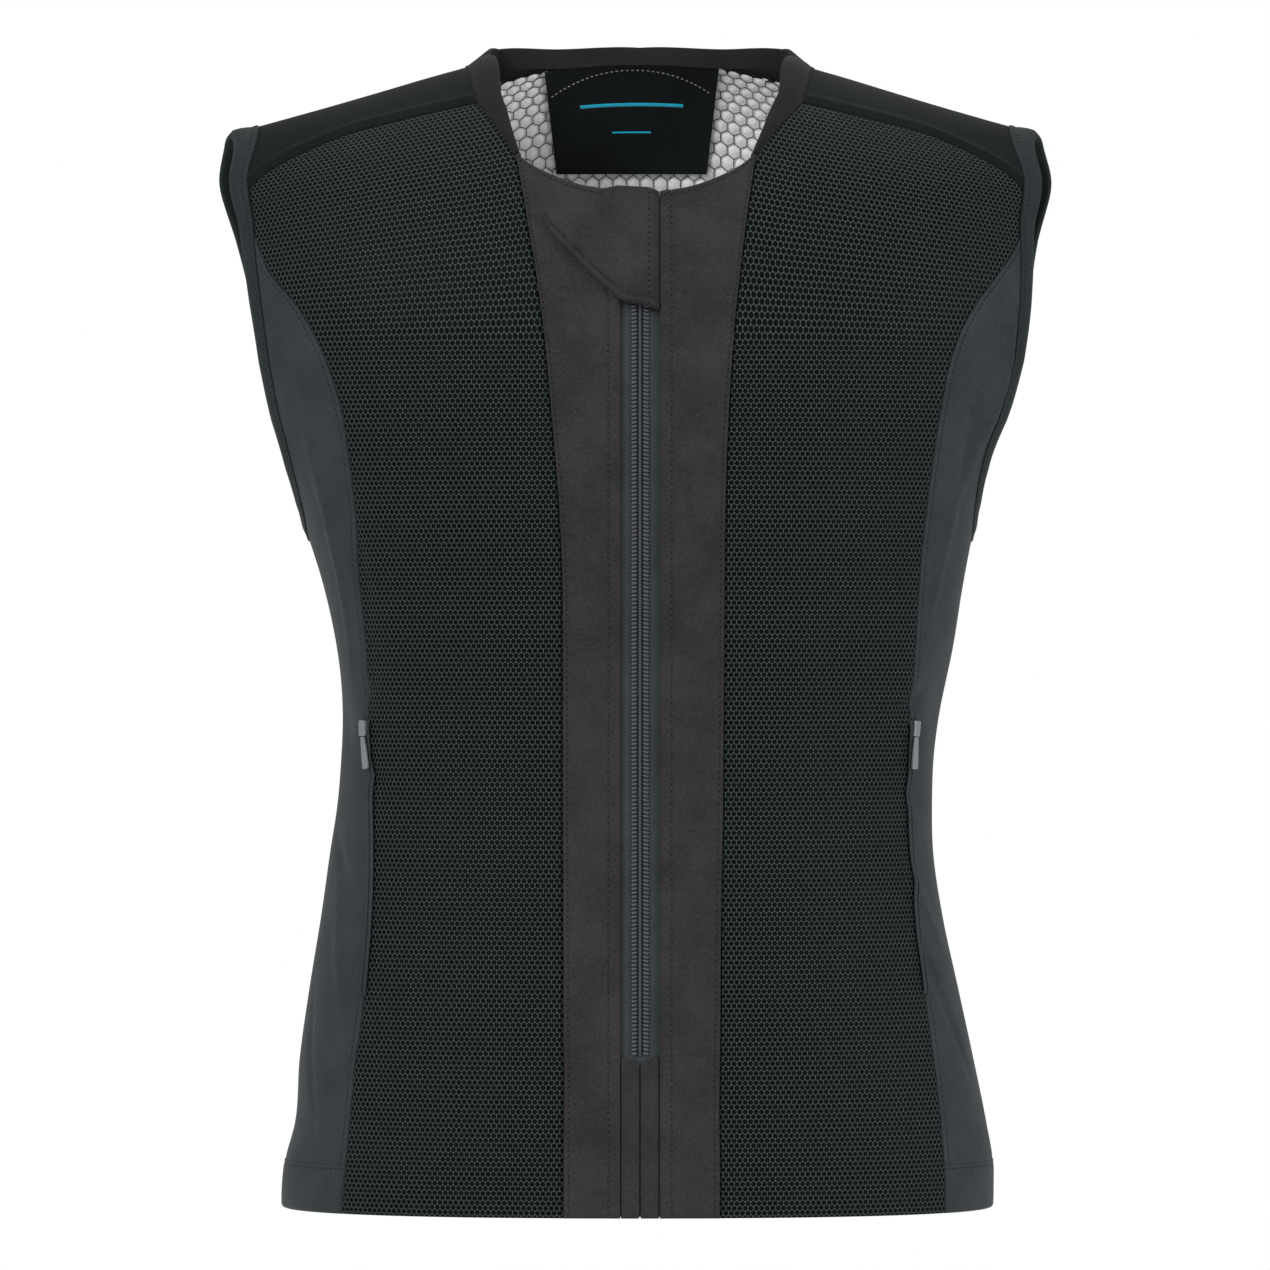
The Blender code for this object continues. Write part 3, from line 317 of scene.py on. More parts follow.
# Where a panel's lines of points lie: at its turned edge, its stitch line and its raised line, as
# shares of their widths, and how much of a panel the lines near one edge may take
TURN_LINES = (0.15, 0.4, 0.7, 1.0)
STITCH_LINES = (-1.6, -0.8, 0, 0.8, 1.6)
RAISED_LINES = (-0.8, 0, 0.8)
EDGE_ROOM = 0.45
TUCK_FALL = 0.7

# The steps of large panels, in cloth steps
LEVEL_STEPS = 1.8
BACK_STEPS = 1.5
DENSE = 90
SPLIT_ROW = 16 / 18
SPLIT_COLUMN = 4 / 12
RIGHT, LEFT = -1, 1
SIDE_NAMES = {RIGHT: "right", LEFT: "left"}


def hex_colour(code):
    """A colour written as six sRGB digits, turned to linear red, green and blue."""
    values = [int(code[i:i + 2], 16) / 255 for i in (0, 2, 4)]
    return tuple(v / 12.92 if v <= 0.04045 else ((v + 0.055) / 1.055) ** 2.4 for v in values)


def size_property(name, description, default):
    return bpy.props.FloatProperty(name=name, description=description, default=default,
                                   min=0.0, unit="LENGTH", precision=5)


def colour_property(name, description, code):
    return bpy.props.FloatVectorProperty(name=name, description=description, subtype="COLOR",
                                         default=hex_colour(code), min=0.0, max=1.0)


class VestSizes(bpy.types.PropertyGroup):
    """Sizes of the cloth's detail"""
    cloth_step: size_property("Cloth step", "Distance between the points of a panel", 0.0026)
    stitch_pitch: size_property("Stitch pitch", "Distance from one needle hole to the next", 0.0033)
    thread_width: size_property("Thread width", "Diameter of the sewing thread", 0.0005)
    tooth_pitch: size_property("Tooth pitch", "Distance between the coil's turns", 0.0021)
    net_cell: size_property("Net cell", "Distance between the cells of the lining's net", 0.0074)
    net_width: size_property("Net width", "Width of the lining net's strands", 0.0005)
    hole_pitch: size_property("Hole pitch", "Distance between the air mesh's holes", 0.0029)
    padding: size_property("Padding", "How far the lining's white cells puff up", 0.0013)


class VestColours(bpy.types.PropertyGroup):
    """Colours of the cloth and trims"""
    yarn: colour_property("Mesh yarn", "Yarn of the air mesh", "2d3736")
    # Mesh hole: painted shade, the darkness inside the air mesh's holes
    hole: colour_property("Mesh hole", "Depth of the air mesh's holes", "020303")
    softshell: colour_property("Softshell", "Yokes and side panels", "282d2f")
    charcoal: colour_property("Charcoal", "Plackets and flap", "272626")
    # Yoke: the softshell's colour with painted shade, darker than the side panels'
    yoke: colour_property("Yoke", "Softshell of the shoulder yokes", "0c1011")
    band: colour_property("Neck band", "Cloth of the neck band", "1b1a1a")
    binding: colour_property("Binding", "Knit band round the armholes", "1f2526")
    facing: colour_property("Facing", "Black cloth inside the back neck", "1b1f20")
    lining: colour_property("Lining", "White padding", "ffffff")
    net: colour_property("Net", "Net over the padding", "101213")
    tape: colour_property("Tape", "Zip tape", "2d3234")
    coil: colour_property("Coil", "Nylon coil", "37393f")
    thread: colour_property("Thread", "Topstitching", "1c1d1d")
    needle_hole: colour_property("Needle hole", "Dark dimples at the stitches' ends", "060606")
    light_thread: colour_property("Light thread", "Arc sewn on the facing", "9a9a9a")
    mark: colour_property("Mark", "Plain woven bars on the facing", "1fb0cf")
    metal: colour_property("Metal", "Painted zinc of the pulls", "74797b")
    floor: colour_property("Floor", "Studio floor", "f4f4f4")


class VestStudio(bpy.types.PropertyGroup):
    """Camera and light"""
    camera_distance: size_property("Camera distance", "From the lens to the vest's middle", 5.0)
    key_power: bpy.props.FloatProperty(name="Key light", description="Power of the large front light",
                                       default=100.0, min=0.0, unit="POWER")
    fill_power: bpy.props.FloatProperty(name="Fill light", description="Power of the side light",
                                        default=46.0, min=0.0, unit="POWER")
    top_power: bpy.props.FloatProperty(name="Top light", description="Power of the light above",
                                       default=26.0, min=0.0, unit="POWER")
    sky: bpy.props.FloatProperty(name="Sky", description="Light that the white surround casts",
                                 default=0.72, min=0.0)


def sizes():
    return bpy.context.scene.vest_sizes


def colours():
    return bpy.context.scene.vest_colours


# Body surface


def column(table, names, name):
    """One column of a table as an array."""
    return np.array([row[names.index(name)] for row in table], float)


def curve(x, y, at):
    """A smooth curve through points, read at some values of x."""
    slope = np.gradient(y, x)
    at = np.clip(np.asarray(at, float), x[0], x[-1])
    i = np.clip(np.searchsorted(x, at, side="right") - 1, 0, len(x) - 2)
    step = x[i + 1] - x[i]
    t = (at - x[i]) / step
    start, end = slope[i] * step, slope[i + 1] * step
    lift = (y[i + 1] - y[i]) * t * t * (3 - 2 * t)
    return y[i] + lift + start * t * (1 - t) ** 2 - end * t * t * (1 - t)


def smooth(table, names, name, against, at):
    """A smooth curve through a table's column, read at values of another column."""
    return curve(column(table, names, against), column(table, names, name), at)


def straight(table, names, name, against, at):
    """A table's column read along straight lines."""
    return np.interp(at, column(table, names, against), column(table, names, name))


def unit(vectors):
    """The same directions, one long."""
    return vectors / np.maximum(np.linalg.norm(vectors, axis=-1, keepdims=True), 1e-9)


def runs_along(points):
    """How far each point of a line, or of each row of a grid, lies from its first."""
    steps = np.linalg.norm(np.diff(points, axis=-2), axis=-1)
    return np.concatenate([np.zeros((*steps.shape[:-1], 1)), np.cumsum(steps, axis=-1)], axis=-1)


def read_along(at, runs, values):
    """The values along a line, read at some distances."""
    return np.stack([np.interp(at, runs, values[:, k]) for k in range(values.shape[1])], axis=-1)


def read_grid(grid, row, col):
    """The values of a grid, read between its rows and columns."""
    r, c = (np.minimum(at.astype(int), size - 2) for at, size in zip((row, col), grid.shape))
    fr, fc = (part.reshape(part.shape + (1,) * (grid.ndim - 2)) for part in (row - r, col - c))
    return ((1 - fr) * ((1 - fc) * grid[r, c] + fc * grid[r, c + 1])
            + fr * ((1 - fc) * grid[r + 1, c] + fc * grid[r + 1, c + 1]))


def round_corner(angle, power):
    """The point at an angle on a rounded unit square, as its reach and its depth."""
    s, c = np.sin(angle), np.cos(angle)
    size = (np.abs(s) ** power + np.abs(c) ** power) ** (-1 / power)
    return s * size, c * size


def corner_angle(reach, power):
    """The angle on a rounded unit square whose point has the given reach."""
    reach = np.clip(reach, -1, 1)
    return np.arctan2(reach, (1 - np.abs(reach) ** power) ** (1 / power))


def half_width(side, height):
    """Half the width of the body at a height, measured past the armhole's cut."""
    share = smooth(SECTIONS, SECTION_COLUMNS, SIDE_NAMES[side], "drop", -height / LENGTH)
    rise = np.clip((height + ARMHOLE_DEPTH) / (RIDGE_CLIMB + ARMHOLE_DEPTH), 0, 1)
    front = straight(ARMHOLE, ARMHOLE_COLUMNS, "front", "rise", rise)
    back = straight(ARMHOLE, ARMHOLE_COLUMNS, "back", "rise", rise)
    edge_reach, _ = round_corner(math.pi / 2 - np.radians(np.minimum(front, back)), BODY_ROUNDNESS)
    return HALF_SPAN * share / edge_reach


def ridge_height(reach):
    """The height of the shoulder line at a share of the half width."""
    return -SHOULDER_DROP * smooth(RIDGE, RIDGE_COLUMNS, "drop", "reach", reach)


def fold_relief(side, angle, height):
    """How far the folds push the cloth in at a place, in metres."""
    around = angle * HALF_SPAN
    total = np.zeros(np.shape(around + height))
    for fold in FOLDS:
        row = dict(zip(FOLD_COLUMNS, fold))
        if row["side"] != side:
            continue
        slope = math.radians(row["slope"])
        across = around - math.radians(row["angle"]) * HALF_SPAN
        up = height + row["drop"] * LENGTH
        along = across * math.cos(slope) + up * math.sin(slope)
        aside = up * math.cos(slope) - across * math.sin(slope)
        bump = np.exp(-(along / (row["reach"] * HALF_SPAN)) ** 2
                      - (aside / (row["width"] * HALF_SPAN)) ** 2)
        total = total + row["depth"] * MESH_WALL * bump
    return total


def surface(side, angle, climb):
    """The points of the body surface at some places."""
    angle, climb = np.broadcast_arrays(np.asarray(angle, float), np.asarray(climb, float))
    over = climb > RIDGE_CLIMB
    angle = np.where(over, math.pi - angle, angle)
    climb = np.where(over, 2 * RIDGE_CLIMB - climb, climb)
    reach, depth = round_corner(angle, BODY_ROUNDNESS)
    turn = np.clip((climb - KNEE) / CURVE_OVER, 0, 1) * math.pi / 2
    rise, shrink = round_corner(turn, SHOULDER_ROUNDNESS)
    height = np.where(climb < KNEE, climb, KNEE + (ridge_height(reach) - KNEE) * rise)
    drop = -height / LENGTH
    front = FRONT_DEPTH * smooth(SECTIONS, SECTION_COLUMNS, "front", "drop", drop)
    back = BACK_DEPTH * smooth(SECTIONS, SECTION_COLUMNS, "back", "drop", drop)
    x = half_width(side, height) * reach
    y = np.where(depth > 0, -front, -back) * depth * shrink
    inward = fold_relief(side, angle, height) / np.maximum(np.hypot(x, y), HALF_SPAN / 10)
    return np.stack([side * x * (1 - inward), y * (1 - inward), height], axis=-1)


def directions(side, angle, climb):
    """How the surface moves with the angle and with the climb, and its outward normal."""
    step_angle, step_climb = 1e-3, 2e-4
    by_angle = (surface(side, angle + step_angle, climb)
                - surface(side, angle - step_angle, climb)) / (2 * step_angle)
    by_climb = (surface(side, angle, climb + step_climb)
                - surface(side, angle, climb - step_climb)) / (2 * step_climb)
    return by_angle, by_climb, unit(np.cross(by_angle, by_climb) * side)


def points_at(side, places):
    return surface(side, places[..., 0], places[..., 1])


def normals_at(side, places):
    """The outward directions of the body surface at some places."""
    return directions(side, places[..., 0], places[..., 1])[2]


def placed(side, places, offset):
    """The points that lie at an offset outside the surface."""
    return points_at(side, places) + normals_at(side, places) * np.asarray(offset)[..., None]


def shifted(side, places, way, distance):
    """Places moved along the surface by a distance in a world direction."""
    by_angle, by_climb, _ = directions(side, places[..., 0], places[..., 1])
    target = way * np.asarray(distance)[..., None]
    aa = (by_angle * by_angle).sum(-1)
    ac = (by_angle * by_climb).sum(-1)
    cc = (by_climb * by_climb).sum(-1)
    ta, tc = (target * by_angle).sum(-1), (target * by_climb).sum(-1)
    size = aa * cc - ac * ac
    return places + np.stack([(ta * cc - tc * ac) / size, (tc * aa - ta * ac) / size], axis=-1)


def front_place(side, x, height):
    """The place on the front that is seen from the front at x and a height."""
    reach = np.clip(side * x / half_width(side, height), -1, 1)
    angle = corner_angle(reach, BODY_ROUNDNESS)
    rise = (height - KNEE) / (ridge_height(reach) - KNEE)
    turn = corner_angle(np.clip(rise, 0, 1), SHOULDER_ROUNDNESS)
    climb = np.where(height < KNEE, height, KNEE + turn / (math.pi / 2) * CURVE_OVER)
    return np.stack(np.broadcast_arrays(angle, climb), axis=-1)


def behind(places):
    """The same places on the back."""
    return np.stack([math.pi - places[..., 0], places[..., 1]], axis=-1)


def over_shoulder(places):
    """Places on the back, named by their way over the shoulder line from the front."""
    return np.stack([math.pi - places[..., 0], 2 * RIDGE_CLIMB - places[..., 1]], axis=-1)


def mix(start, end, t):
    """Places at shares of the way from one place to another."""
    t = np.asarray(t)[:, None]
    return start * (1 - t) + end * t


# Edges of the panels, each read at shares of its way


def armhole_line(side, turn, width):
    """Places round an armhole, a width in from its edge.

    Turn is 1 at the front of the crest, 0 at the armpit and -1 at the back of the crest.
    """
    roots = np.sqrt(column(ARMHOLE, ARMHOLE_COLUMNS, "rise"))

    def edge(at, half):
        cut = np.where(half > 0, curve(roots, column(ARMHOLE, ARMHOLE_COLUMNS, "front"), np.abs(at)),
                       curve(roots, column(ARMHOLE, ARMHOLE_COLUMNS, "back"), np.abs(at)))
        climb = at ** 2 * (RIDGE_CLIMB + ARMHOLE_DEPTH) - ARMHOLE_DEPTH
        return np.stack([math.pi / 2 - half * np.radians(cut), climb], axis=-1)

    turn = np.asarray(turn, float)
    half = np.where(turn > 0, 1, -1)
    places = edge(turn, half)
    step = 0.004
    low, high = np.clip(turn - step, -1, 1), np.clip(turn + step, -1, 1)
    ends = [edge(at, np.where(at > 0, 1, -1)) for at in (low, high)]
    tangent = surface(side, *ends[1].T) - surface(side, *ends[0].T)
    return shifted(side, places, np.cross(normals_at(side, places), unit(tangent)) * side, width)


def binding_line(side, start, end, t):
    """Places on the binding's inner line between two turns."""
    return armhole_line(side, start + (end - start) * np.asarray(t), BINDING_WIDTH)


def binding_place(side, turn):
    return armhole_line(side, np.array([turn]), BINDING_WIDTH)[0]


def seam_x(name, side, heights):
    share = smooth(SEAMS, SEAM_COLUMNS, f"{name}_{SIDE_NAMES[side]}", "drop", -heights / LENGTH)
    return side * HALF_SPAN * share


def side_seam(side, low, t):
    """Places up the side panel's front seam from a height to the binding's inner line."""
    junction = binding_place(side, SEAM_TURN)
    top = surface(side, *junction)[2]
    heights = low + (top - low) * np.asarray(t)
    places = front_place(side, seam_x("side", side, heights), heights)
    nudge = (junction - front_place(side, seam_x("side", side, top), top))
    return places + nudge * nudge_share(heights, top)


def nudge_share(heights, top):
    """How much of a junction's small correction a seam takes at some heights."""
    return ((heights + LENGTH) / (top + LENGTH))[:, None] ** 8


def side_seam_behind(side, low, t):
    """Places up the side panel's back seam."""
    places = behind(side_seam(side, low, t))
    junction = binding_place(side, SEAM_TURN)
    top = surface(side, *junction)[2]
    nudge = binding_place(side, -SEAM_TURN) - behind(junction)
    return places + nudge * nudge_share(low + (top - low) * np.asarray(t), top)


def placket_edge(side, t):
    """Places up the placket's outer edge from the hem to the neck corner."""
    heights = -LENGTH + (LENGTH - NECK_CORNER_DROP) * np.asarray(t)
    return front_place(side, seam_x("placket", side, heights), heights)


def neck_corner(side):
    return placket_edge(side, [1.0])[0]


def yoke_corner(side):
    return front_place(side, side * NECK_YOKE_HALF, np.array(-NECK_YOKE_DROP))


def neck_crest(side):
    """The place where the neck edge crosses the shoulder line."""
    reach = NECK_HALF / half_width(side, ridge_height(NECK_HALF / HALF_SPAN))
    return np.array([corner_angle(reach, BODY_ROUNDNESS), RIDGE_CLIMB])


def neck_behind(side, t):
    """Places along the back neck edge from the middle to the yoke's back neck end."""
    t = np.asarray(t)
    fall = t ** 2 * (NECK_BACK_YOKE_DROP - NECK_BACK_DROP)
    return behind(front_place(side, side * NECK_BACK_HALF * t, -NECK_BACK_DROP - fall))


def neck_front(side, t):
    """Places from the neck corner at the placket to the yoke's neck end."""
    return mix(neck_corner(side), yoke_corner(side), t)


def neck_over(side, t):
    """Places from the yoke's front neck end over the shoulder line to its back neck end."""
    crest, back_end = neck_crest(side), over_shoulder(neck_behind(side, [1.0]))[0]
    stations = np.array([yoke_corner(side), crest, back_end])
    return read_along(t, (0, 0.5, 1), stations)


def yoke_seam(side, start, end, t):
    """Places from a neck end to an armhole end, along the curve of the yoke's seam."""
    first, last = surface(side, *start), surface(side, *end)
    t = np.asarray(t)
    fall = smooth(YOKE_SEAM, YOKE_SEAM_COLUMNS, "fall", "across", t)
    places = front_place(side, first[0] + (last[0] - first[0]) * t,
                         first[2] + (last[2] - first[2]) * fall)
    if start[0] > math.pi / 2:
        places = behind(places)
    head, tail = start - places[0], end - places[-1]
    return places + head * (1 - t[:, None]) ** 6 + tail * t[:, None] ** 6


def yoke_seam_front(side, t):
    return yoke_seam(side, yoke_corner(side), binding_place(side, YOKE_TURN), t)


def yoke_seam_back(side, t):
    return yoke_seam(side, neck_behind(side, [1.0])[0], binding_place(side, -YOKE_TURN), t)


def joined(first, second, split, t):
    """An edge made of two lines that meet at a share of the way."""
    t = np.asarray(t)
    low = t <= split
    return np.concatenate([first(t[low] / split), second((t[~low] - split) / (1 - split))])


def shares(split=None):
    """Shares of the way along a panel, with the split among them."""
    even = np.linspace(0, 1, DENSE + 1)
    return even if split is None else np.unique(np.append(even, split))


def patch(bottom, top, left, right, u, v):
    """A grid of places between four edges that share their corners."""
    u, v = u[None, :, None], v[:, None, None]
    ruled = (1 - v) * bottom[None] + v * top[None] + (1 - u) * left[:, None] + u * right[:, None]
    corners = ((1 - u) * (1 - v) * bottom[0] + u * (1 - v) * bottom[-1]
               + (1 - u) * v * top[0] + u * v * top[-1])
    return ruled - corners


# Panels


def edge_stops(edge, inner=()):
    """Distances from an edge where a panel needs a line of points."""
    row = dict(zip(EDGE_COLUMNS, edge))
    stops = [0.0]
    if row["turn"]:
        stops += [row["turn"] * share for share in TURN_LINES]
    if row["stitch"]:
        stops += [row["stitch"] + CHANNEL_WIDTH * k for k in STITCH_LINES]
    if row["ridge"]:
        stops += [row["ridge"] + RIDGE_WIDTH * k for k in RAISED_LINES]
    return sorted(set(stops) | set(inner))


def spread(side, grid, low, high, step, axis, total_lines=None):
    """A grid read again at set distances from two facing edges, with those distances added to it."""
    if axis == 0:
        grid = grid.swapaxes(0, 1)
    runs = runs_along(points_at(side, grid))
    low, high = np.array(low), np.array(high)
    middle = max(2, math.ceil((runs[:, -1].max() - low[-1] - high[-1]) / step))
    if total_lines:
        middle = total_lines - len(low) - len(high) + 1
    made = []
    for line, run in zip(grid, runs):
        total = run[-1]
        room = EDGE_ROOM * total
        a = low * min(1, room / max(low[-1], 1e-9))
        b = total - high[::-1] * min(1, room / max(high[-1], 1e-9))
        at = np.concatenate([a[:-1], np.linspace(a[-1], b[0], middle + 1), b[1:]])
        made.append(np.column_stack([read_along(at, run, line), at, total - at]))
    made = np.array(made)
    return made.swapaxes(0, 1) if axis == 0 else made


def panel_grid(side, places, edges, steps, tops=(), lines=(None, None)):
    """A panel's points: places, then the distances to its left, right, bottom and top edges."""
    left, right, bottom, top = (edge_stops(edge) for edge in edges)
    top = sorted(set(top) | set(tops))
    grid = spread(side, places, left, right, steps[1], 1, lines[1])
    return spread(side, grid, bottom, top, steps[0], 0, lines[0])


def ridge(at, middle, width, height):
    """The lift of a smooth ridge, or of a channel where the height is negative."""
    return height * np.exp(-((at - middle) / width) ** 2)


def edge_relief(grid, edges):
    """How far the panel's edges are turned down, stitched in and raised, in metres."""
    total = np.zeros(grid.shape[:2])
    for k, edge in enumerate(edges):
        row, far = dict(zip(EDGE_COLUMNS, edge)), grid[..., 2 + k]
        if row["turn"]:
            near = np.clip(1 - far / row["turn"], 0, 1)
            total -= row["depth"] * (1 - np.sqrt(1 - near ** 2))
        if row["stitch"]:
            total += ridge(far, row["stitch"], CHANNEL_WIDTH, -CHANNEL_DEPTH)
        if row["ridge"]:
            total += ridge(far, row["ridge"], RIDGE_WIDTH, row["height"])
    return total


ARC_ANGLES = np.arange(-1, 242) * math.pi / 240
ARC_CLIMBS = np.linspace(-LENGTH - 0.01, 2 * RIDGE_CLIMB + 0.2, 81)
BACK_MIDDLE = int(np.abs(ARC_ANGLES - math.pi).argmin())
ARCS = {}


def arc_table(side):
    """Distances round the body from the middle of the front, at ARC_CLIMBS and ARC_ANGLES."""
    if side not in ARCS:
        runs = runs_along(surface(side, ARC_ANGLES[None, :], ARC_CLIMBS[:, None]))
        ARCS[side] = runs - runs[:, [np.searchsorted(ARC_ANGLES, 0)]]
    return ARCS[side]


def cloth_map(side, places):
    """Where a place lies on the cloth's flat pattern: round the body and up it, in metres."""
    row = np.interp(places[..., 1], ARC_CLIMBS, np.arange(len(ARC_CLIMBS)))
    col = np.interp(places[..., 0], ARC_ANGLES, np.arange(len(ARC_ANGLES)))
    return np.stack([side * read_grid(arc_table(side), row, col), places[..., 1]], axis=-1)


def back_map(side, places):
    """The flat pattern of the back, which starts at its middle."""
    pattern = cloth_map(side, places)
    pattern[..., 0] -= side * np.interp(places[..., 1], ARC_CLIMBS, arc_table(side)[:, BACK_MIDDLE])
    return pattern


def angle_round(side, around, climb):
    """The angles whose distance round the body from the middle of the front is given."""
    table = arc_table(side)
    rows = np.interp(climb, ARC_CLIMBS, np.arange(len(ARC_CLIMBS)))
    low = np.minimum(rows.astype(int), len(ARC_CLIMBS) - 2)
    part = (rows - low)[:, None]
    lines = table[low] * (1 - part) + table[low + 1] * part
    return np.array([np.interp(a, line, ARC_ANGLES) for a, line in zip(around, lines)])


# Making pieces


def deselect():
    if bpy.context.object and bpy.context.object.mode != "OBJECT":
        bpy.ops.object.mode_set(mode="OBJECT")
    bpy.ops.object.select_all(action="DESELECT")


def named(name, material):
    """The object just added, given its name and material."""
    piece = bpy.context.object
    piece.name = piece.data.name = name
    piece.data.materials.clear()
    piece.data.materials.append(material)
    return piece


def apply_all(piece):
    """Applies a piece's modifiers and makes its faces smooth up to its sharp edges."""
    deselect()
    piece.select_set(True)
    bpy.context.view_layer.objects.active = piece
    for modifier in list(piece.modifiers):
        bpy.ops.object.modifier_apply(modifier=modifier.name)
    bpy.ops.object.shade_smooth_by_angle(angle=math.radians(50))
    piece.select_set(False)
    return piece


def grid_object(name, points, material, pattern=None, outward=None):
    """A grid of faces placed at a grid of points, its faces turned to the outward side."""
    rows, columns = points.shape[:2]
    deselect()
    bpy.ops.mesh.primitive_grid_add(x_subdivisions=columns - 1, y_subdivisions=rows - 1, size=1,
                                    calc_uvs=True)
    piece = named(name, material)
    if len(piece.data.vertices) != rows * columns:
        raise RuntimeError(f"{name}: the grid has {len(piece.data.vertices)} points")
    piece.data.vertices.foreach_set("co", np.ascontiguousarray(points, dtype=np.float32).ravel())
    if pattern is not None:
        corner = np.empty(len(piece.data.loops), dtype=np.int32)
        piece.data.loops.foreach_get("vertex_index", corner)
        flat = pattern.reshape(-1, 2)[corner]
        piece.data.uv_layers.active.data.foreach_set("uv", flat.astype(np.float32).ravel())
    piece.data.update()
    if outward is not None:
        across = np.gradient(points, axis=1)
        upward = np.gradient(points, axis=0)
        if (np.cross(across, upward) * outward).sum(-1).mean() < 0:
            piece.data.flip_normals()
    return piece


def cloth(name, points, outward, wall, material, pattern):
    """A sheet of cloth through a grid of points, with its thickness behind it."""
    piece = grid_object(name, points, material, pattern, outward)
    thick = piece.modifiers.new("cloth thickness", "SOLIDIFY")
    thick.thickness = wall
    thick.offset = -1
    apply_all(piece)
    return piece


def dress(piece, nodes, slot):
    """Says which body a piece rides on and which solids it stands for; the slot for its finish is not
    used.
    """
    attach(piece, "root")
    if nodes:
        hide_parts(*nodes)
    return piece


SEWN = []


def keep_stitches(points, normals, edges, grid):
    """Keeps a panel's stitch lines for the stitching: the points and normals along each of them."""
    for k, edge in enumerate(edges):
        stitch = dict(zip(EDGE_COLUMNS, edge))["stitch"]
        if not stitch:
            continue
        far = np.abs(grid[..., 2 + k] - stitch)
        if k < 2:
            at = int(far.mean(0).argmin())
            SEWN.append((points[:, at], normals[:, at]))
        else:
            at = int(far.mean(1).argmin())
            SEWN.append((points[at], normals[at]))


def tucked(points, normals, pattern, edges):
    """A panel's points with one more line along each edge that runs on under the next panel."""
    arrays = [points, normals, pattern]
    for k, edge in enumerate(edges):
        tuck = dict(zip(EDGE_COLUMNS, edge))["tuck"]
        if not tuck:
            continue
        turned = [a.swapaxes(0, 1) if k < 2 else a for a in arrays]
        if k % 2:
            turned = [a[::-1] for a in turned]
        point, normal, flat = (a[:2] for a in turned)
        away = unit(np.cross(unit(np.gradient(point[0], axis=0)), normal[0]))
        away *= np.sign((away * (point[0] - point[1])).sum())
        lines = (point[0] + away * tuck - normal[0] * tuck * TUCK_FALL, normal[0],
                 flat[0] + unit(flat[0] - flat[1]) * tuck)
        turned = [np.concatenate([line[None], a]) for line, a in zip(lines, turned)]
        if k % 2:
            turned = [a[::-1] for a in turned]
        arrays = [a.swapaxes(0, 1) if k < 2 else a for a in turned]
    return arrays


def panel(name, side, places, edges, lift, wall, material, slot, nodes,
          level=False):
    """A sewn panel over a grid of places, with its edges turned and its stitch lines kept.

    The rows of a level panel stay as they are, and only its columns are spread.
    """
    if level:
        left, right = edge_stops(edges[0]), edge_stops(edges[1])
        grid = spread(side, places, left, right, sizes().cloth_step * LEVEL_STEPS, 1)
        grid = np.concatenate([grid, np.zeros((*grid.shape[:2], 2))], axis=-1)
    else:
        grid = panel_grid(side, places, edges, (sizes().cloth_step,) * 2)
    points = placed(side, grid, lift + edge_relief(grid, edges))
    normal = normals_at(side, grid)
    keep_stitches(points, normal, edges, grid)
    points, normal, pattern = tucked(points, normal, cloth_map(side, grid), edges)
    piece = cloth(f"{name}_{SIDE_NAMES[side]}", points, normal, wall, material, pattern)
    return dress(piece, [f"{node}_{SIDE_NAMES[side]}" for node in nodes], slot)


def front_mesh(side):
    u, v = shares(), shares(SPLIT_ROW)
    left = joined(lambda t: placket_edge(side, t), lambda t: neck_front(side, t), SPLIT_ROW, v)
    right = joined(lambda t: side_seam(side, -LENGTH, t),
                   lambda t: binding_line(side, SEAM_TURN, YOKE_TURN, t), SPLIT_ROW, v)
    grid = patch(mix(left[0], right[0], u), yoke_seam_front(side, u), left, right, u, v)
    panel("air_mesh_front", side, grid, (SEAM, SEAM, HEM, SEAM), 0.0, MESH_WALL * 0.9,
          air_mesh(), "air_mesh", ["front_mesh"])


def shoulder_yoke(side):
    u, v = shares(), shares()
    turn = YOKE_TURN + (1 - YOKE_TURN) * 2 * v
    front = turn <= 1
    right = np.where(front[:, None], armhole_line(side, np.minimum(turn, 1), BINDING_WIDTH),
                     over_shoulder(armhole_line(side, np.minimum(turn - 2, -1e-6), BINDING_WIDTH)))
    grid = patch(yoke_seam_front(side, u), over_shoulder(yoke_seam_back(side, u)),
                 neck_over(side, v), right, u, v)
    panel("softshell_yoke", side, grid, (COVERED, COVERED, PIPED, PIPED), 0.0, SOFTSHELL_WALL,
          yoke_softshell_painted_shade(), "softshell", ["shoulder_yoke"])


BUNCH = 0.030


def level_places(left, right, top, u, v):
    """A grid whose rows run level from the left edge to the right, and along the dip of the top.

    Each column keeps its share of the way across, and its rows bunch up under the dip.
    """
    def ends(climb):
        return [np.interp(climb, edge[:, 1], edge[:, 0]) for edge in (left, right)]

    first, last = ends(top[:, 1])
    share = np.clip((top[:, 0] - first) / (last - first), 0, 1)
    share = np.maximum.accumulate(share)
    share[0], share[-1] = 0, 1
    even = left[:, 1][:, None] * (1 - u) + right[:, 1][:, None] * u
    climb = np.minimum(even, top[:, 1] - BUNCH * (1 - v[:, None]))
    first, last = ends(climb)
    return np.stack([first + (last - first) * share, climb], axis=-1)


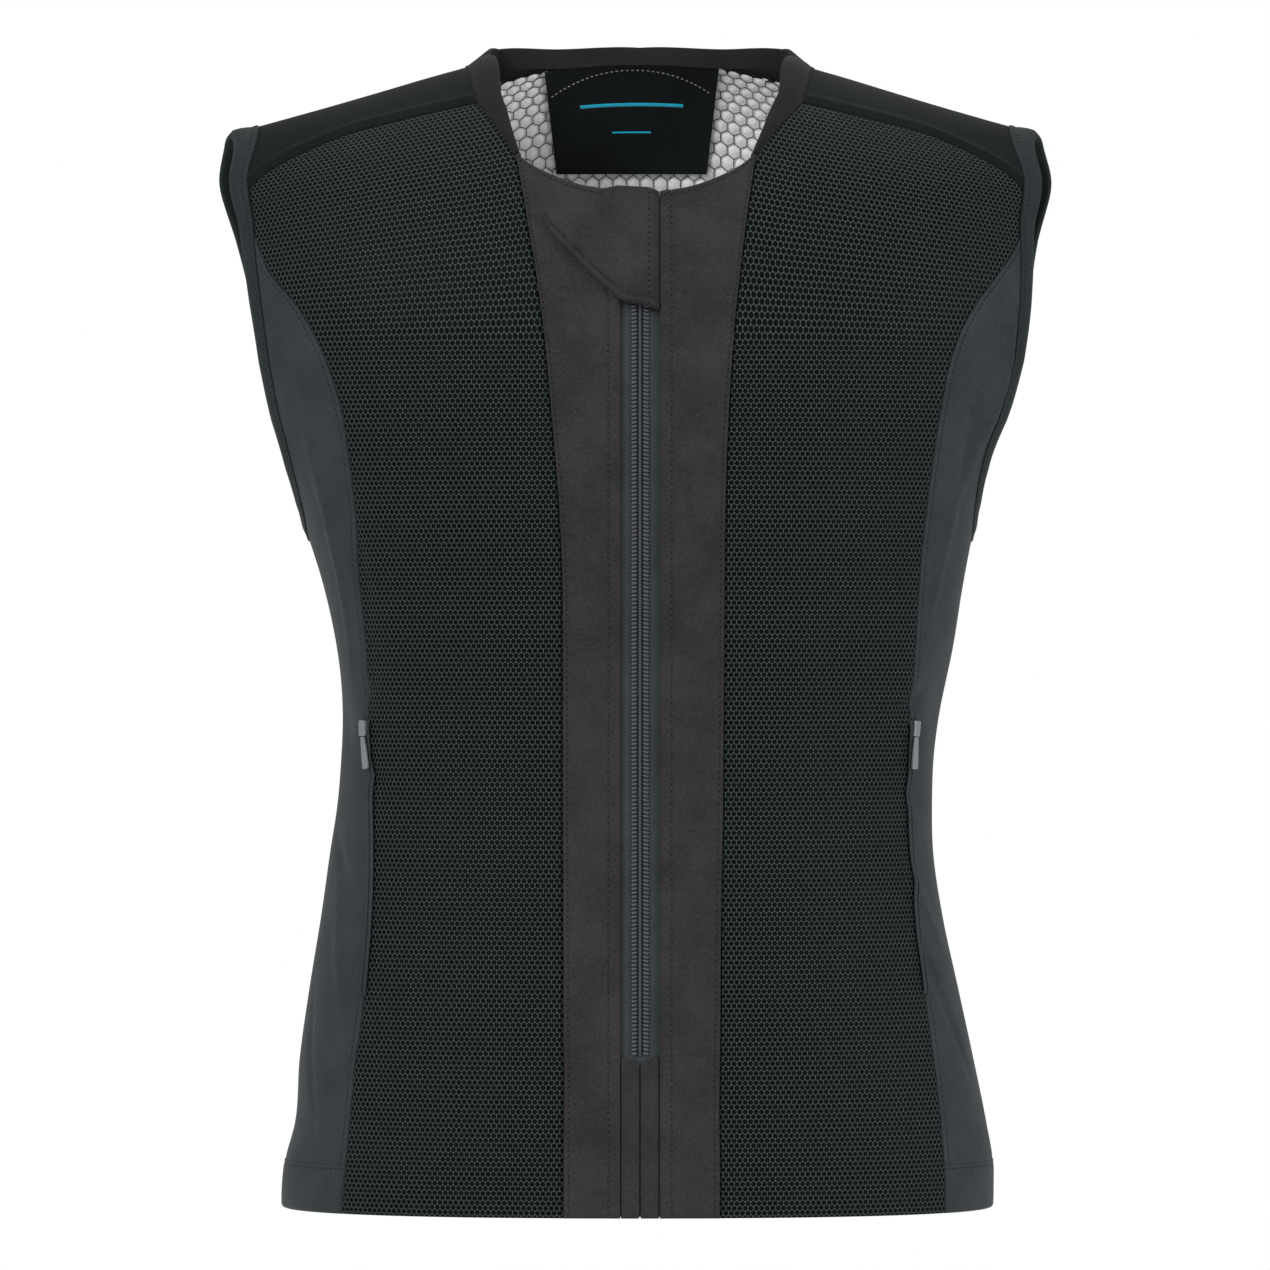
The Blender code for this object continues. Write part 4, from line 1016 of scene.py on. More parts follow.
def side_panel(side):
    u, v = shares(), shares()
    low = -LENGTH + HEM_BAND
    fine = np.linspace(0, 1, 2 * DENSE + 1)
    left, right = side_seam(side, low, fine), side_seam_behind(side, low, fine)
    top = binding_line(side, SEAM_TURN, -SEAM_TURN, fine)
    grid = level_places(left, right, top, fine, fine)
    panel("softshell_side", side, grid, (TOPSTITCHED, TOPSTITCHED, COVERED, COVERED), 0.0,
          SOFTSHELL_WALL, softshell(), "softshell", ["side_panel"],
          level=True)
    bottom = side_seam(side, -LENGTH, [0.0])[0], side_seam_behind(side, -LENGTH, [0.0])[0]
    hem = patch(mix(*bottom, u), mix(left[0], right[0], u), mix(bottom[0], left[0], v),
                mix(bottom[1], right[0], v), u, v)
    panel("softshell_hem", side, hem, (SEAM, SEAM, HEM, STITCHED_HEM), TRIM_LIFT / 2,
          SOFTSHELL_WALL + TRIM_LIFT / 2, softshell(), "softshell", ["side_hem"])


def back_places(side):
    u, v = shares(SPLIT_COLUMN), shares(SPLIT_ROW)
    top = joined(lambda t: neck_behind(side, t), lambda t: yoke_seam_back(side, t), SPLIT_COLUMN, u)
    right = joined(lambda t: side_seam_behind(side, -LENGTH, t),
                   lambda t: binding_line(side, -SEAM_TURN, -YOKE_TURN, t), SPLIT_ROW, v)
    middle = np.stack([np.full(len(v), math.pi), -LENGTH + (top[0, 1] + LENGTH) * v], axis=-1)
    return patch(mix(middle[0], right[0], u), top, middle, right, u, v)


def across_back(edges, steps, offset, tops=()):
    """Points, normals and pattern right across the back, from the right side to the left."""
    halves = []
    lines = (None, None)
    for side in (RIGHT, LEFT):
        grid = panel_grid(side, back_places(side), edges, steps, tops, lines)
        lines = grid.shape[:2]
        pattern = back_map(side, grid)
        points = placed(side, grid, offset(grid, pattern, edges))
        normal = normals_at(side, grid)
        halves.append((points, normal, pattern))
    return [np.concatenate([halves[0][k][:, ::-1], halves[1][k][:, 1:]], axis=1) for k in range(3)]


def back_panel():
    edges = (PLAIN, SEAM, HEM, SEAM)
    step = sizes().cloth_step * BACK_STEPS
    arrays = across_back(edges, (step, step), lambda grid, _, e: edge_relief(grid, e))
    points, normal, pattern = tucked(*arrays, (SEAM, SEAM, HEM, SEAM))
    piece = cloth("air_mesh_back", points, normal, BACK_WALL * 0.9, air_mesh(), pattern)
    dress(piece, ["back_panel"], "air_mesh")


def cell_distance(pattern, cell):
    """How far points of the flat pattern lie from the middle of their cell of a staggered net."""
    scale = np.array([cell, cell * math.sqrt(3)])
    found = []
    for shift in (0.0, 0.5):
        part = (pattern / scale + shift) % 1 - 0.5
        found.append(np.hypot(part[..., 0], part[..., 1] * math.sqrt(3)))
    return np.minimum(*found)


# The lining: its cells are puffed up as far down from the neck as it shows, and below that it lies
# flat at their mean height
LINING_INSIDE = -BACK_WALL - LAYER_GAP - LINING_WALL
FINE_LINING = 0.17
FINE_FADE = 0.01
MEAN_PUFF = 0.75
DOME_RADIUS = 0.55
LINING_STEP = 0.008
LINES_IN_CELL = 4.5
COLUMNS_IN_CELL = 3.9


def lining():
    """White padding that puffs up in the cells of the net, finely so where the neck shows it."""
    padding, cell = sizes().padding, sizes().net_cell

    def offset(grid, pattern, edges):
        dome = 1 - np.clip(cell_distance(pattern, cell) / DOME_RADIUS, 0, 1) ** 2
        shown = np.clip((FINE_LINING - grid[..., 5]) / FINE_FADE, 0, 1)
        flat = MEAN_PUFF * (1 - shown)
        return LINING_INSIDE + padding * flat - padding * (dome - MEAN_PUFF) * shown

    fine = np.arange(0, FINE_LINING, cell / LINES_IN_CELL)
    points, normal, pattern = across_back((PLAIN, PLAIN, PLAIN, PLAIN),
                                          (LINING_STEP, cell / COLUMNS_IN_CELL), offset, fine)
    piece = cloth("padded_lining", points, -normal, LINING_WALL * 0.6, padding_cloth(), pattern)
    dress(piece, ["back_lining"], "white_lining")


def rods(name, starts, ends, across, upward, sides, material):
    """Many short rods in one mesh, from start points to end points, with two radii as vectors."""
    turns = np.arange(sides) * 2 * math.pi / sides
    ring = (np.cos(turns)[None, :, None] * across[:, None]
            + np.sin(turns)[None, :, None] * upward[:, None])
    verts = np.concatenate([starts[:, None] + ring, ends[:, None] + ring], axis=1)
    faces = [(k, (k + 1) % sides, sides + (k + 1) % sides, sides + k) for k in range(sides)]
    faces += [tuple(range(sides))[::-1], tuple(range(sides, 2 * sides))]
    return repeated_mesh(name, verts, faces, material)


def copies(shape, at, right, up, out):
    """A small shape's points copied to many places, with its three directions at each."""
    return (at[:, None] + shape[None, :, :1] * right[:, None]
            + shape[None, :, 1:2] * up[:, None] + shape[None, :, 2:] * out[:, None])


def repeated_mesh(name, verts, faces, material):
    """One mesh of many copies of a small shape, from an array of copies by points."""
    count, size = verts.shape[:2]
    mesh = bpy.data.meshes.new(name)
    loops = np.array([k for face in faces for k in face])
    all_loops = (np.arange(count)[:, None] * size + loops[None]).ravel()
    lengths = np.tile([len(face) for face in faces], count)
    starts = np.concatenate([[0], np.cumsum(lengths)[:-1]])
    mesh.vertices.add(count * size)
    mesh.vertices.foreach_set("co", verts.astype(np.float32).ravel())
    mesh.loops.add(len(all_loops))
    mesh.loops.foreach_set("vertex_index", all_loops.astype(np.int32))
    mesh.polygons.add(len(lengths))
    mesh.polygons.foreach_set("loop_start", starts.astype(np.int32))
    mesh.polygons.foreach_set("loop_total", lengths.astype(np.int32))
    mesh.polygons.foreach_set("use_smooth", np.ones(len(lengths), dtype=bool))
    mesh.update(calc_edges=True)
    mesh.validate()
    mesh.materials.append(material)
    piece = bpy.data.objects.new(name, mesh)
    bpy.context.scene.collection.objects.link(piece)
    return piece


NET_REACH = 0.14
NET_END = 0.012
NET_BRINK = 0.001
NET_SINK = 0.0001


def lining_net():
    """The strands of the net over the padding, where the neck shows them."""
    cell, reach, deep = sizes().net_cell, NET_REACH, FINE_LINING - NET_END
    top = neck_behind(LEFT, [0.0])[0, 1]
    tall = cell * math.sqrt(3)
    corner = cell / math.sqrt(3)
    strands = []
    for shift in (0.0, 0.5):
        columns = np.arange(math.ceil(-reach / cell), math.floor(reach / cell) + 1)
        rows = np.arange(math.ceil((top - deep) / tall), math.floor(top / tall) + 1)
        middle = np.stack(np.meshgrid((columns + 0.5 - shift) * cell, (rows + 0.5 - shift) * tall),
                          axis=-1).reshape(-1, 2)
        for k in range(3):
            turn = [math.radians(30 + 60 * (k + j)) for j in (0, 1)]
            ends = [middle + corner * np.array([math.cos(t), math.sin(t)]) for t in turn]
            strands.append(np.stack(ends, axis=1))
    strands = np.concatenate(strands)
    points, normals = [], []
    flat = strands.reshape(-1, 2)
    for side in (RIGHT, LEFT):
        whole = np.interp(flat[:, 1], ARC_CLIMBS, arc_table(side)[:, BACK_MIDDLE])
        angle = angle_round(side, whole - np.abs(flat[:, 0]), flat[:, 1])
        place = np.stack([angle, flat[:, 1]], axis=-1)
        points.append(placed(side, place, LINING_INSIDE - NET_SINK))
        normals.append(normals_at(side, place))
    left = flat[:, 0] > 0
    points = np.where(left[:, None], points[1], points[0]).reshape(-1, 2, 3)
    normals = np.where(left[:, None], normals[1], normals[0]).reshape(-1, 2, 3)
    brink = neck_behind(LEFT, np.linspace(0, 1, 21))
    x = points_at(LEFT, brink)[:, 0]
    roof = np.interp(np.abs(points[..., 0]), x, brink[:, 1]) - NET_BRINK
    kept = (flat[:, 1].reshape(-1, 2) < roof).all(1) & (np.abs(points[..., 0]) < x[-1]).all(1)
    starts, ends, facing_in = points[kept, 0], points[kept, 1], -normals[kept].mean(1)
    across = unit(np.cross(ends - starts, facing_in))
    radius = sizes().net_width / 2
    piece = rods("lining_net", starts, ends, across * radius, facing_in * radius, 5, net_yarn())
    dress(piece, (), "black_cloth")


FACING_GRID = {}


def facing():
    """The black facing inside the back neck; its grid is kept for the light arc of stitches and the
    bars.
    """
    rows, columns = 44, 60
    fall = np.linspace(1, 0, rows)[:, None]
    across = np.linspace(-1, 1, columns)[None]
    x = across * FACING_HALF * (1 - FACING_TAPER * fall) - FACING_ASIDE
    roof = -NECK_BACK_DROP - (np.abs(x) / NECK_BACK_HALF) ** 2 * (NECK_BACK_YOKE_DROP
                                                                 - NECK_BACK_DROP)
    height = roof + (-FACING_DROP - roof) * fall
    lift = LINING_INSIDE - LAYER_GAP - FACING_WALL
    halves = {side: behind(front_place(side, x, height)) for side in (RIGHT, LEFT)}
    on_left = (x > 0)[..., None]
    points, normal, pattern = (np.where(on_left, a, b) for a, b in zip(
        *((placed(side, halves[side], lift), normals_at(side, halves[side]),
           back_map(side, halves[side])) for side in (LEFT, RIGHT))))
    piece = cloth("neck_facing", points, -normal, FACING_WALL, black_cloth(), pattern)
    dress(piece, ["back_neck_facing"], "black_cloth")
    FACING_GRID["points"], FACING_GRID["normal"] = points, -normal


def facing_line(across, fall):
    """Points and normals along a line on the facing, from shares across it and down it."""
    rows, columns = FACING_GRID["points"].shape[:2]
    at = (1 - fall) * (rows - 1), (across + 1) / 2 * (columns - 1)
    return [read_grid(FACING_GRID[name], *at) for name in ("points", "normal")]


# The two bars: their names, then half their width, their place down the facing and half their
# height, as shares of the facing
BARS = (("woven_bar_upper", 0.62, 0.37, 0.016), ("woven_bar_lower", 0.24, 0.62, 0.008))
# A bar's rounded section: shares of half its height, and lifts
BAR_PROFILE = ((1, 0.0001), (0.6, 0.0004), (0, 0.0005), (-0.6, 0.0004), (-1, 0.0001))
BAR_WALL = 0.0003


def facing_marks():
    """Two plain woven bars on the facing, one broad and one narrow."""
    rise, lift = np.array(BAR_PROFILE).T
    for name, half, fall, tall in BARS:
        lines = [facing_line(np.linspace(-half, half, 40), np.full(40, fall + tall * k)) for k in rise]
        points, normal = (np.stack([line[k] for line in lines]) for k in (0, 1))
        points = points + normal * lift[:, None, None]
        piece = grid_object(name, points, satin_thread(), None, normal)
        thick = piece.modifiers.new("thread thickness", "SOLIDIFY")
        thick.thickness, thick.offset = BAR_WALL, -1
        apply_all(piece)
        dress(piece, (), "black_cloth")


# Plackets, flap and tabs


def placket(side):
    u, v = shares(), shares()
    outer = placket_edge(side, v)
    heights = -LENGTH + (LENGTH - NECK_FRONT_DROP) * v
    inner = front_place(side, np.full(len(v), side * ZIP_OPENING / 2), heights)
    fall = smooth(NECKLINE, NECKLINE_COLUMNS, "fall", "across", u)
    x = surface(side, *outer[-1])[0] * u + side * ZIP_OPENING / 2 * (1 - u)
    top = front_place(side, x, -NECK_CORNER_DROP - (NECK_FRONT_DROP - NECK_CORNER_DROP) * fall)
    top[0], top[-1] = inner[-1], outer[-1]
    grid = patch(mix(inner[0], outer[0], u), top, inner, outer, u, v)
    panel("placket_cloth", side, grid, (INNER_PLACKET, OUTER_PLACKET, HEM, NECKLINE_EDGE),
          TRIM_LIFT, PLACKET_WALL, charcoal(), "charcoal", ["placket"])


def strip(name, side, across, heights, lift, wall, material, slot, node, inner_heights=None):
    """A strip of cloth up the middle of the front, with its points at distances across it."""
    low = heights if inner_heights is None else inner_heights
    share = (across - across[0]) / (across[-1] - across[0])
    grid_heights = low[:, None] * (1 - share[None]) + heights[:, None] * share[None]
    places = front_place(side, side * np.broadcast_to(across, grid_heights.shape), grid_heights)
    points = placed(side, places, np.broadcast_to(lift, grid_heights.shape))
    normal = normals_at(side, places)
    piece = cloth(f"{name}_{SIDE_NAMES[side]}", points, normal, wall, material,
                  cloth_map(side, places))
    dress(piece, [f"{node}_{SIDE_NAMES[side]}"], slot)


# The tab's lines of points from the zip's middle, and its rows near its lower and upper ends
TAB_LINES = (0.0004, 0.0006, 0.0011, 0.0030, 0.0052, 0.0074, 0.0092, 0.0097, 0.0100)
TAB_LOWER_ROWS = (0, 0.0003, 0.0010)
TAB_UPPER_ROWS = (0.0012, 0.0006, 0.0003)
TAB_CROWN = 0.0005
TAB_EDGE_DROP = 0.0003
TAB_END_WIDTH = 0.001
TAB_END_DROP = 0.0006


def end_tab(side):
    """The folded tab over the lower end of the main zip."""
    across = np.array(TAB_LINES)
    share = (across - across[0]) / (across[-1] - across[0])
    heights = np.concatenate([-LENGTH + np.array(TAB_LOWER_ROWS),
                              np.linspace(-LENGTH + 0.004, -ZIP_END_DROP - 0.003, 36),
                              -ZIP_END_DROP - np.array(TAB_UPPER_ROWS)])
    lowered = heights - TAB_SLANT * np.clip((heights + LENGTH) / (LENGTH - ZIP_END_DROP), 0, 1)
    crown = TAB_CROWN * np.sin(math.pi * share) ** 0.5 - TAB_EDGE_DROP
    ends = np.minimum(heights - heights[0], heights[-1] - heights)
    fall = TAB_END_DROP * np.clip(1 - ends / TAB_END_WIDTH, 0, 1)
    lift = TAPE_TOP + GAP + TAB_WALL + crown[None] - fall[:, None]
    strip("zip_tab_cloth", side, across, heights, lift, TAB_WALL, charcoal(), "charcoal",
          "zip_end_tab", lowered)


# The flap's rows of points between its lower and its upper edge, crowded where it rolls, and extra
# columns at its ends
FLAP_ROWS = (0, 0.008, 0.02, 0.035, 0.05, 0.065, 0.08, 0.10, 0.13, *np.linspace(0.17, 0.96, 26),
             0.985, 1.0)
FLAP_END_COLUMNS = (0.004, 0.01, 0.99, 0.996)

# Its rolled lower edge, as heights above that edge, with widths and lifts
ROLL_MIDDLE, ROLL_WIDTH, ROLL_LIFT = 0.0022, 0.0016, 0.0015
LIP_WIDTH, LIP_DROP = 0.0014, 0.0016
CREASE_MIDDLE, CREASE_WIDTH, CREASE_LIFT = 0.0052, 0.0011, -0.0011
TIP_DROP = 0.0004
SUNK_DEPTH = 0.0008
FLAP_STITCH_COLUMN = 6


def zip_flap():
    """The three-cornered flap over the top of the zip, with a rolled lower edge."""
    room = COIL_TOP + GAP + ZIP_SLIDER_HEIGHT + FLAP_CLEARANCE + FLAP_WALL - TRIM_LIFT
    across = np.unique([*np.linspace(0, 1, 46), *FLAP_END_COLUMNS])
    rows = np.array(FLAP_ROWS)[:, None]
    values = {name: smooth(FLAP, FLAP_COLUMNS, name, "across", across)
              for name in ("upper", "lower", "lift")}
    x = ZIP_OPENING / 2 - GAP - FLAP_LENGTH * across
    lower = -NECK_FRONT_DROP - FLAP_HEIGHT * values["lower"]
    upper = -NECK_FRONT_DROP - FLAP_HEIGHT * values["upper"]
    heights = lower * (1 - rows) + upper * rows
    places = front_place(RIGHT, np.broadcast_to(x, heights.shape), heights)
    up = heights - lower
    roll = ridge(up, ROLL_MIDDLE, ROLL_WIDTH, ROLL_LIFT)
    roll -= LIP_DROP * np.clip(1 - up / LIP_WIDTH, 0, 1) ** 2
    crease = ridge(up, CREASE_MIDDLE, CREASE_WIDTH, CREASE_LIFT)
    tip = np.clip((across - 0.9) / 0.1, 0, 1) ** 2 * -TIP_DROP
    sunk = np.clip((rows - 0.30) / 0.45, 0, 1) ** 1.5 * np.clip((across - 0.36) / 0.14, 0, 1)
    raised = room * values["lift"] + roll + crease + tip
    lift = TRIM_LIFT + raised * (1 - sunk) - SUNK_DEPTH * sunk
    points = placed(RIGHT, places, lift)
    normal = normals_at(RIGHT, places)
    piece = cloth("flap_cloth", points, normal, FLAP_WALL * 0.9, charcoal(),
                  cloth_map(RIGHT, places))
    dress(piece, ["zip_flap"], "charcoal")
    SEWN.append((points[:, FLAP_STITCH_COLUMN], normal[:, FLAP_STITCH_COLUMN]))


# Bands


def smoothed(points, times):
    """A line of points with its corners rounded off and its ends kept."""
    for _ in range(times):
        inner = (points[:-2] + 2 * points[1:-1] + points[2:]) / 4
        points = np.concatenate([points[:1], inner, points[-1:]])
    return points


def band(name, rings, closed, material, slot, nodes, held, rests_on):
    """A band lofted through rings of points, its ends closed; how it is held is not used."""
    if closed:
        rings = np.concatenate([rings, rings[:1]])
    loop = np.concatenate([rings, rings[:, :1]], axis=1)
    along = np.linalg.norm(np.diff(loop, axis=0), axis=2).mean(1).cumsum()
    along = np.concatenate([[0], along])
    around = np.linalg.norm(np.diff(loop, axis=1), axis=2).mean(0).cumsum()
    around = np.concatenate([[0], around])
    pattern = np.stack(np.meshgrid(around, along), axis=-1)
    middle = rings.mean(1, keepdims=True)
    piece = grid_object(name, loop, material, pattern, loop - middle)
    deselect()
    piece.select_set(True)
    bpy.context.view_layer.objects.active = piece
    bpy.ops.object.mode_set(mode="EDIT")
    bpy.ops.mesh.select_all(action="SELECT")
    bpy.ops.mesh.remove_doubles(threshold=1e-6)
    if not closed:
        bpy.ops.mesh.select_all(action="DESELECT")
        bpy.ops.mesh.select_non_manifold(extend=False)
        bpy.ops.mesh.edge_face_add()
        bpy.ops.mesh.select_all(action="SELECT")
    bpy.ops.mesh.normals_make_consistent(inside=False)
    bpy.ops.object.mode_set(mode="OBJECT")
    apply_all(piece)
    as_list(rests_on)
    return dress(piece, nodes, slot)


# The binding's section, from its outer foot over the armhole's edge to its inner foot: shares of
# its width, and lifts from the body surface
BINDING_SECTION = (
    (1.00, TRIM_LIFT - 0.0009),
    (0.985, TRIM_LIFT - 0.0002),
    (0.90, TRIM_LIFT),
    (0.78, TRIM_LIFT - 0.0004),
    (0.70, TRIM_LIFT + 0.0001),
    (0.45, TRIM_LIFT + 0.0005),
    (0.22, TRIM_LIFT + 0.0002),
    (0.09, -0.0003),
    (0.02, -0.0012),
    (0.00, -0.0021),
    (0.02, -0.0029),
    (0.10, -0.0035),
    (0.50, TRIM_LIFT - BINDING_WALL - 0.0002),
    (0.985, TRIM_LIFT - BINDING_WALL),
)
BINDING_STITCH = 0.78
HALF_RINGS = 150


def armhole_binding(side):
    """The knit band folded round an armhole's edge."""
    front, back = np.linspace(0, 1, HALF_RINGS), np.linspace(-1, 0, HALF_RINGS)[1:-1]
    turns = np.concatenate([front, back])
    lines = []
    for share, offset in BINDING_SECTION:
        width = share * (BINDING_WIDTH - GAP)
        places = armhole_line(side, turns, width)
        line = placed(side, places, offset)
        if share == BINDING_STITCH:
            SEWN.append((line, normals_at(side, places)))
        lines.append(line)
    rings = np.stack(lines, axis=1)
    name = SIDE_NAMES[side]
    band(f"binding_knit_{name}", rings, True, binding_knit(), "binding",
         [f"armhole_binding_{name}"], "folded", [f"side_panel_{name}", f"shoulder_yoke_{name}"])


NECK_MIDDLE = (0, -0.03, 0)
BAND_RINGS = 260
BAND_FOOT_LIFT = 0.0006
BAND_INNER_LIFT = 0.0008
BAND_SKIRT = 0.0034
BAND_BULGE = 0.0007
BAND_UNDERSIDE = 0.0062


def neck_path():
    """Points, outward normals, inward directions, the way and the outer foot along the neck edge."""
    parts = []
    for side in (RIGHT, LEFT):
        front, over, back = np.linspace(0, 1, 40), np.linspace(0, 1, 61)[1:], np.linspace(1, 0, 60)[1:]
        path = np.concatenate([neck_front(side, front), neck_over(side, over),
                               neck_behind(side, back)])
        way = np.interp(np.arange(len(path)), (0, 69, len(path) - 1), (0, 1, 2))
        edge = points_at(side, path)
        normal = normals_at(side, path)
        way_in = unit(np.cross(normal, np.gradient(edge, axis=0)))
        way_in *= np.sign((way_in * (np.array(NECK_MIDDLE) - edge)).sum(1))[:, None]
        outside = smooth(BAND, BAND_COLUMNS, "outside", "way", way)
        foot = placed(side, shifted(side, path, -way_in, outside), BAND_FOOT_LIFT)
        order = slice(None) if side == RIGHT else slice(-2, None, -1)
        parts.append([a[order] for a in (edge, normal, way_in, foot, way[:, None])])
    edge, normal, way_in, foot, way = (np.concatenate(part) for part in zip(*parts))
    run = runs_along(edge)
    even = np.linspace(0, run[-1], BAND_RINGS)
    *lines, way = (read_along(even, run, a) for a in (edge, normal, way_in, foot, way))
    edge, normal, way_in, foot = (smoothed(line, 10) for line in lines)
    return edge, unit(normal), unit(way_in), foot, way[:, 0]


def neck_band():
    """The band that stands round the neck, folded over the edges of the cloth inside."""
    edge, normal, way_in, outer, way = neck_path()
    row = {name: smooth(BAND, BAND_COLUMNS, name, "way", way)[:, None] for name in BAND_COLUMNS}
    lean = np.radians(row["lean"])
    up = normal * np.cos(lean) + way_in * np.sin(lean)
    thick = way_in * np.cos(lean) - normal * np.sin(lean)
    tall, half = row["width"], BAND_WALL / 2
    foot = edge + way_in * GAP + normal * BAND_INNER_LIFT
    rings = [outer - normal * BAND_SKIRT, outer - normal * 0.0006 - way_in * 0.0002, outer,
             outer * 0.5 + foot * 0.5 + normal * 0.0003, foot]
    rings += [foot + up * tall * k - thick * BAND_BULGE * math.sin(math.pi * k)
              for k in (0.25, 0.5, 0.75)]
    for turn in np.linspace(math.pi, 0, 6):
        rings.append(foot + up * (tall + half * 0.9 * math.sin(turn) - half * 0.5)
                     + thick * (half + half * math.cos(turn)))
    inner = foot + up * tall + thick * BAND_WALL
    down = unit(-up * 0.75 - normal * 0.66)
    rings += [inner + down * row["inside"] * k for k in (0.3, 0.6, 0.9, 1.0)]
    rings.append(foot - normal * BAND_UNDERSIDE + way_in * 0.0002)
    rings = np.stack(rings, axis=1)
    band("neck_band_cloth", rings, False, band_cloth(), "charcoal", ["neck_band"], "folded",
         ["shoulder_yoke_right", "shoulder_yoke_left", "back_panel"])


# Zips


def row_heights(low, high, step=0.004):
    return np.linspace(low, high, max(2, math.ceil((high - low) / step)) + 1)


# The tape's lines of points from the zip's middle, and the thread raised along its inner part
TAPE_LINES = (0.0, 0.0006, 0.0012, 0.0030, 0.0050, 0.0056, 0.0080, 0.0102, 0.0130)
TAPE_RIDGE = 0.0054
TAPE_RIDGE_WIDTH = 0.0006
TAPE_RIDGE_HEIGHT = 0.00035

# A turn of the coil lies across the tape, and its head meets the other side's at the middle
TOOTH_LIFT = 0.0001
TOOTH_FILL = 0.47
TOOTH_SLANT = 0.16
TOOTH_SQUARENESS = 0.7
HEAD_ASIDE = 0.00005
HEAD_LIFT = 0.0002
HEAD_HALF = 0.0009
HEAD_LENGTH = 0.60
HEAD_HEIGHT = 0.85
COIL_STITCH_ASIDE = 0.62
COIL_STITCH_SINK = 0.0001


def main_zip(side):
    """A woven tape and its row of coil teeth."""
    name = SIDE_NAMES[side]
    across = np.array([*TAPE_LINES, ZIP_OPENING / 2 + TAPE_UNDERLAP])
    raised = ridge(across, TAPE_RIDGE, TAPE_RIDGE_WIDTH, TAPE_RIDGE_HEIGHT)
    tape_heights = row_heights(-LENGTH + TAPE_HEM_GAP, -NECK_FRONT_DROP - TAPE_NECK_GAP)
    strip("tape_weave", side, across, tape_heights, TAPE_TOP + raised, TAPE_WALL, zip_tape(),
          "zip_tape", "zip_tape")
    pitch = sizes().tooth_pitch
    heights = np.arange(-ZIP_END_DROP + pitch / 2, -ZIP_TOP_DROP - pitch / 4, pitch)
    places = front_place(side, np.full(len(heights), side * COIL_SPACING / 2), heights)
    _, by_climb, normal = directions(side, places[:, 0], places[:, 1])
    up = unit(by_climb)
    out = np.cross(up, normal) * -side
    base = placed(side, places, TAPE_TOP + TOOTH_LIFT)
    shape, faces = tooth_shape()
    shape = shape * np.array([COIL_WIDTH / 2, pitch * TOOTH_FILL, COIL_HEIGHT])
    slant = shape.copy()
    slant[:, 1] += shape[:, 0] * TOOTH_SLANT
    heads = np.arange(len(heights)) + 0.5 * (side == LEFT)
    head_heights = heights[0] + (heads - 0.25) * pitch
    head_places = front_place(side, np.full(len(heights), side * HEAD_ASIDE), head_heights)
    bead = shape * np.array([HEAD_HALF / (COIL_WIDTH / 2), HEAD_LENGTH, HEAD_HEIGHT])
    verts = [copies(slant, base, out, up, normal),
             copies(bead, placed(side, head_places, TAPE_TOP + HEAD_LIFT), out, up, normal)]
    piece = repeated_mesh(f"coil_teeth_{name}", np.concatenate(verts), faces, coil_nylon())
    dress(piece, [f"zip_coil_{name}"], "coil")
    line = base - out * (COIL_WIDTH * COIL_STITCH_ASIDE) - normal * COIL_STITCH_SINK
    SEWN_FINE.append((line, normal))


SEWN_FINE = []


def ball(segments):
    """The points and faces of a ball of radius 1 whose poles lie across it."""
    deselect()
    bpy.ops.mesh.primitive_uv_sphere_add(segments=segments, ring_count=5, radius=1,
                                         rotation=(0, math.pi / 2, 0))
    made = bpy.context.object
    bpy.ops.object.transform_apply(location=False, rotation=True, scale=False)
    points = np.array([v.co for v in made.data.vertices])
    faces = [tuple(p.vertices) for p in made.data.polygons]
    bpy.data.objects.remove(made)
    return points, faces


def tooth_shape():
    """One turn of the coil, a rounded bead that is broad across the tape, in shares of its size."""
    points, faces = ball(8)
    points[:, 0] = np.sign(points[:, 0]) * np.abs(points[:, 0]) ** TOOTH_SQUARENESS
    points[:, 2] = (points[:, 2] + 1) / 2
    return points, faces


def seam_frame(side, height, lift):
    """A matrix at a height on the side seam whose Z points out of the cloth and Y up the seam."""
    place = front_place(side, seam_x("side", side, np.array(height)), np.array(height))
    _, by_climb, normal = directions(side, place[0], place[1])
    ends = [surface(side, *front_place(side, seam_x("side", side, np.array(h)), np.array(h)))
            for h in (height - 0.002, height + 0.002)]
    out = Vector(normal)
    up = Vector(ends[1] - ends[0])
    up = (up - out * up.dot(out)).normalized()
    turn = Matrix((up.cross(out), up, out)).transposed().to_4x4()
    return Matrix.Translation(Vector(surface(side, *place)) + out * lift) @ turn


# One of the two lips, from its outer edge to the slit: shares of its width, and lifts
LIP_SECTION = (
    (1.00, -0.0008),
    (0.92, -0.00025),
    (0.70, 0.0),
    (0.40, 0.0001),
    (0.20, 0.0),
    (0.12, -0.0005),
    (0.05, -0.0009),
)
LIP_END_WIDTH = 0.003
LIP_END_DROP = 0.0008


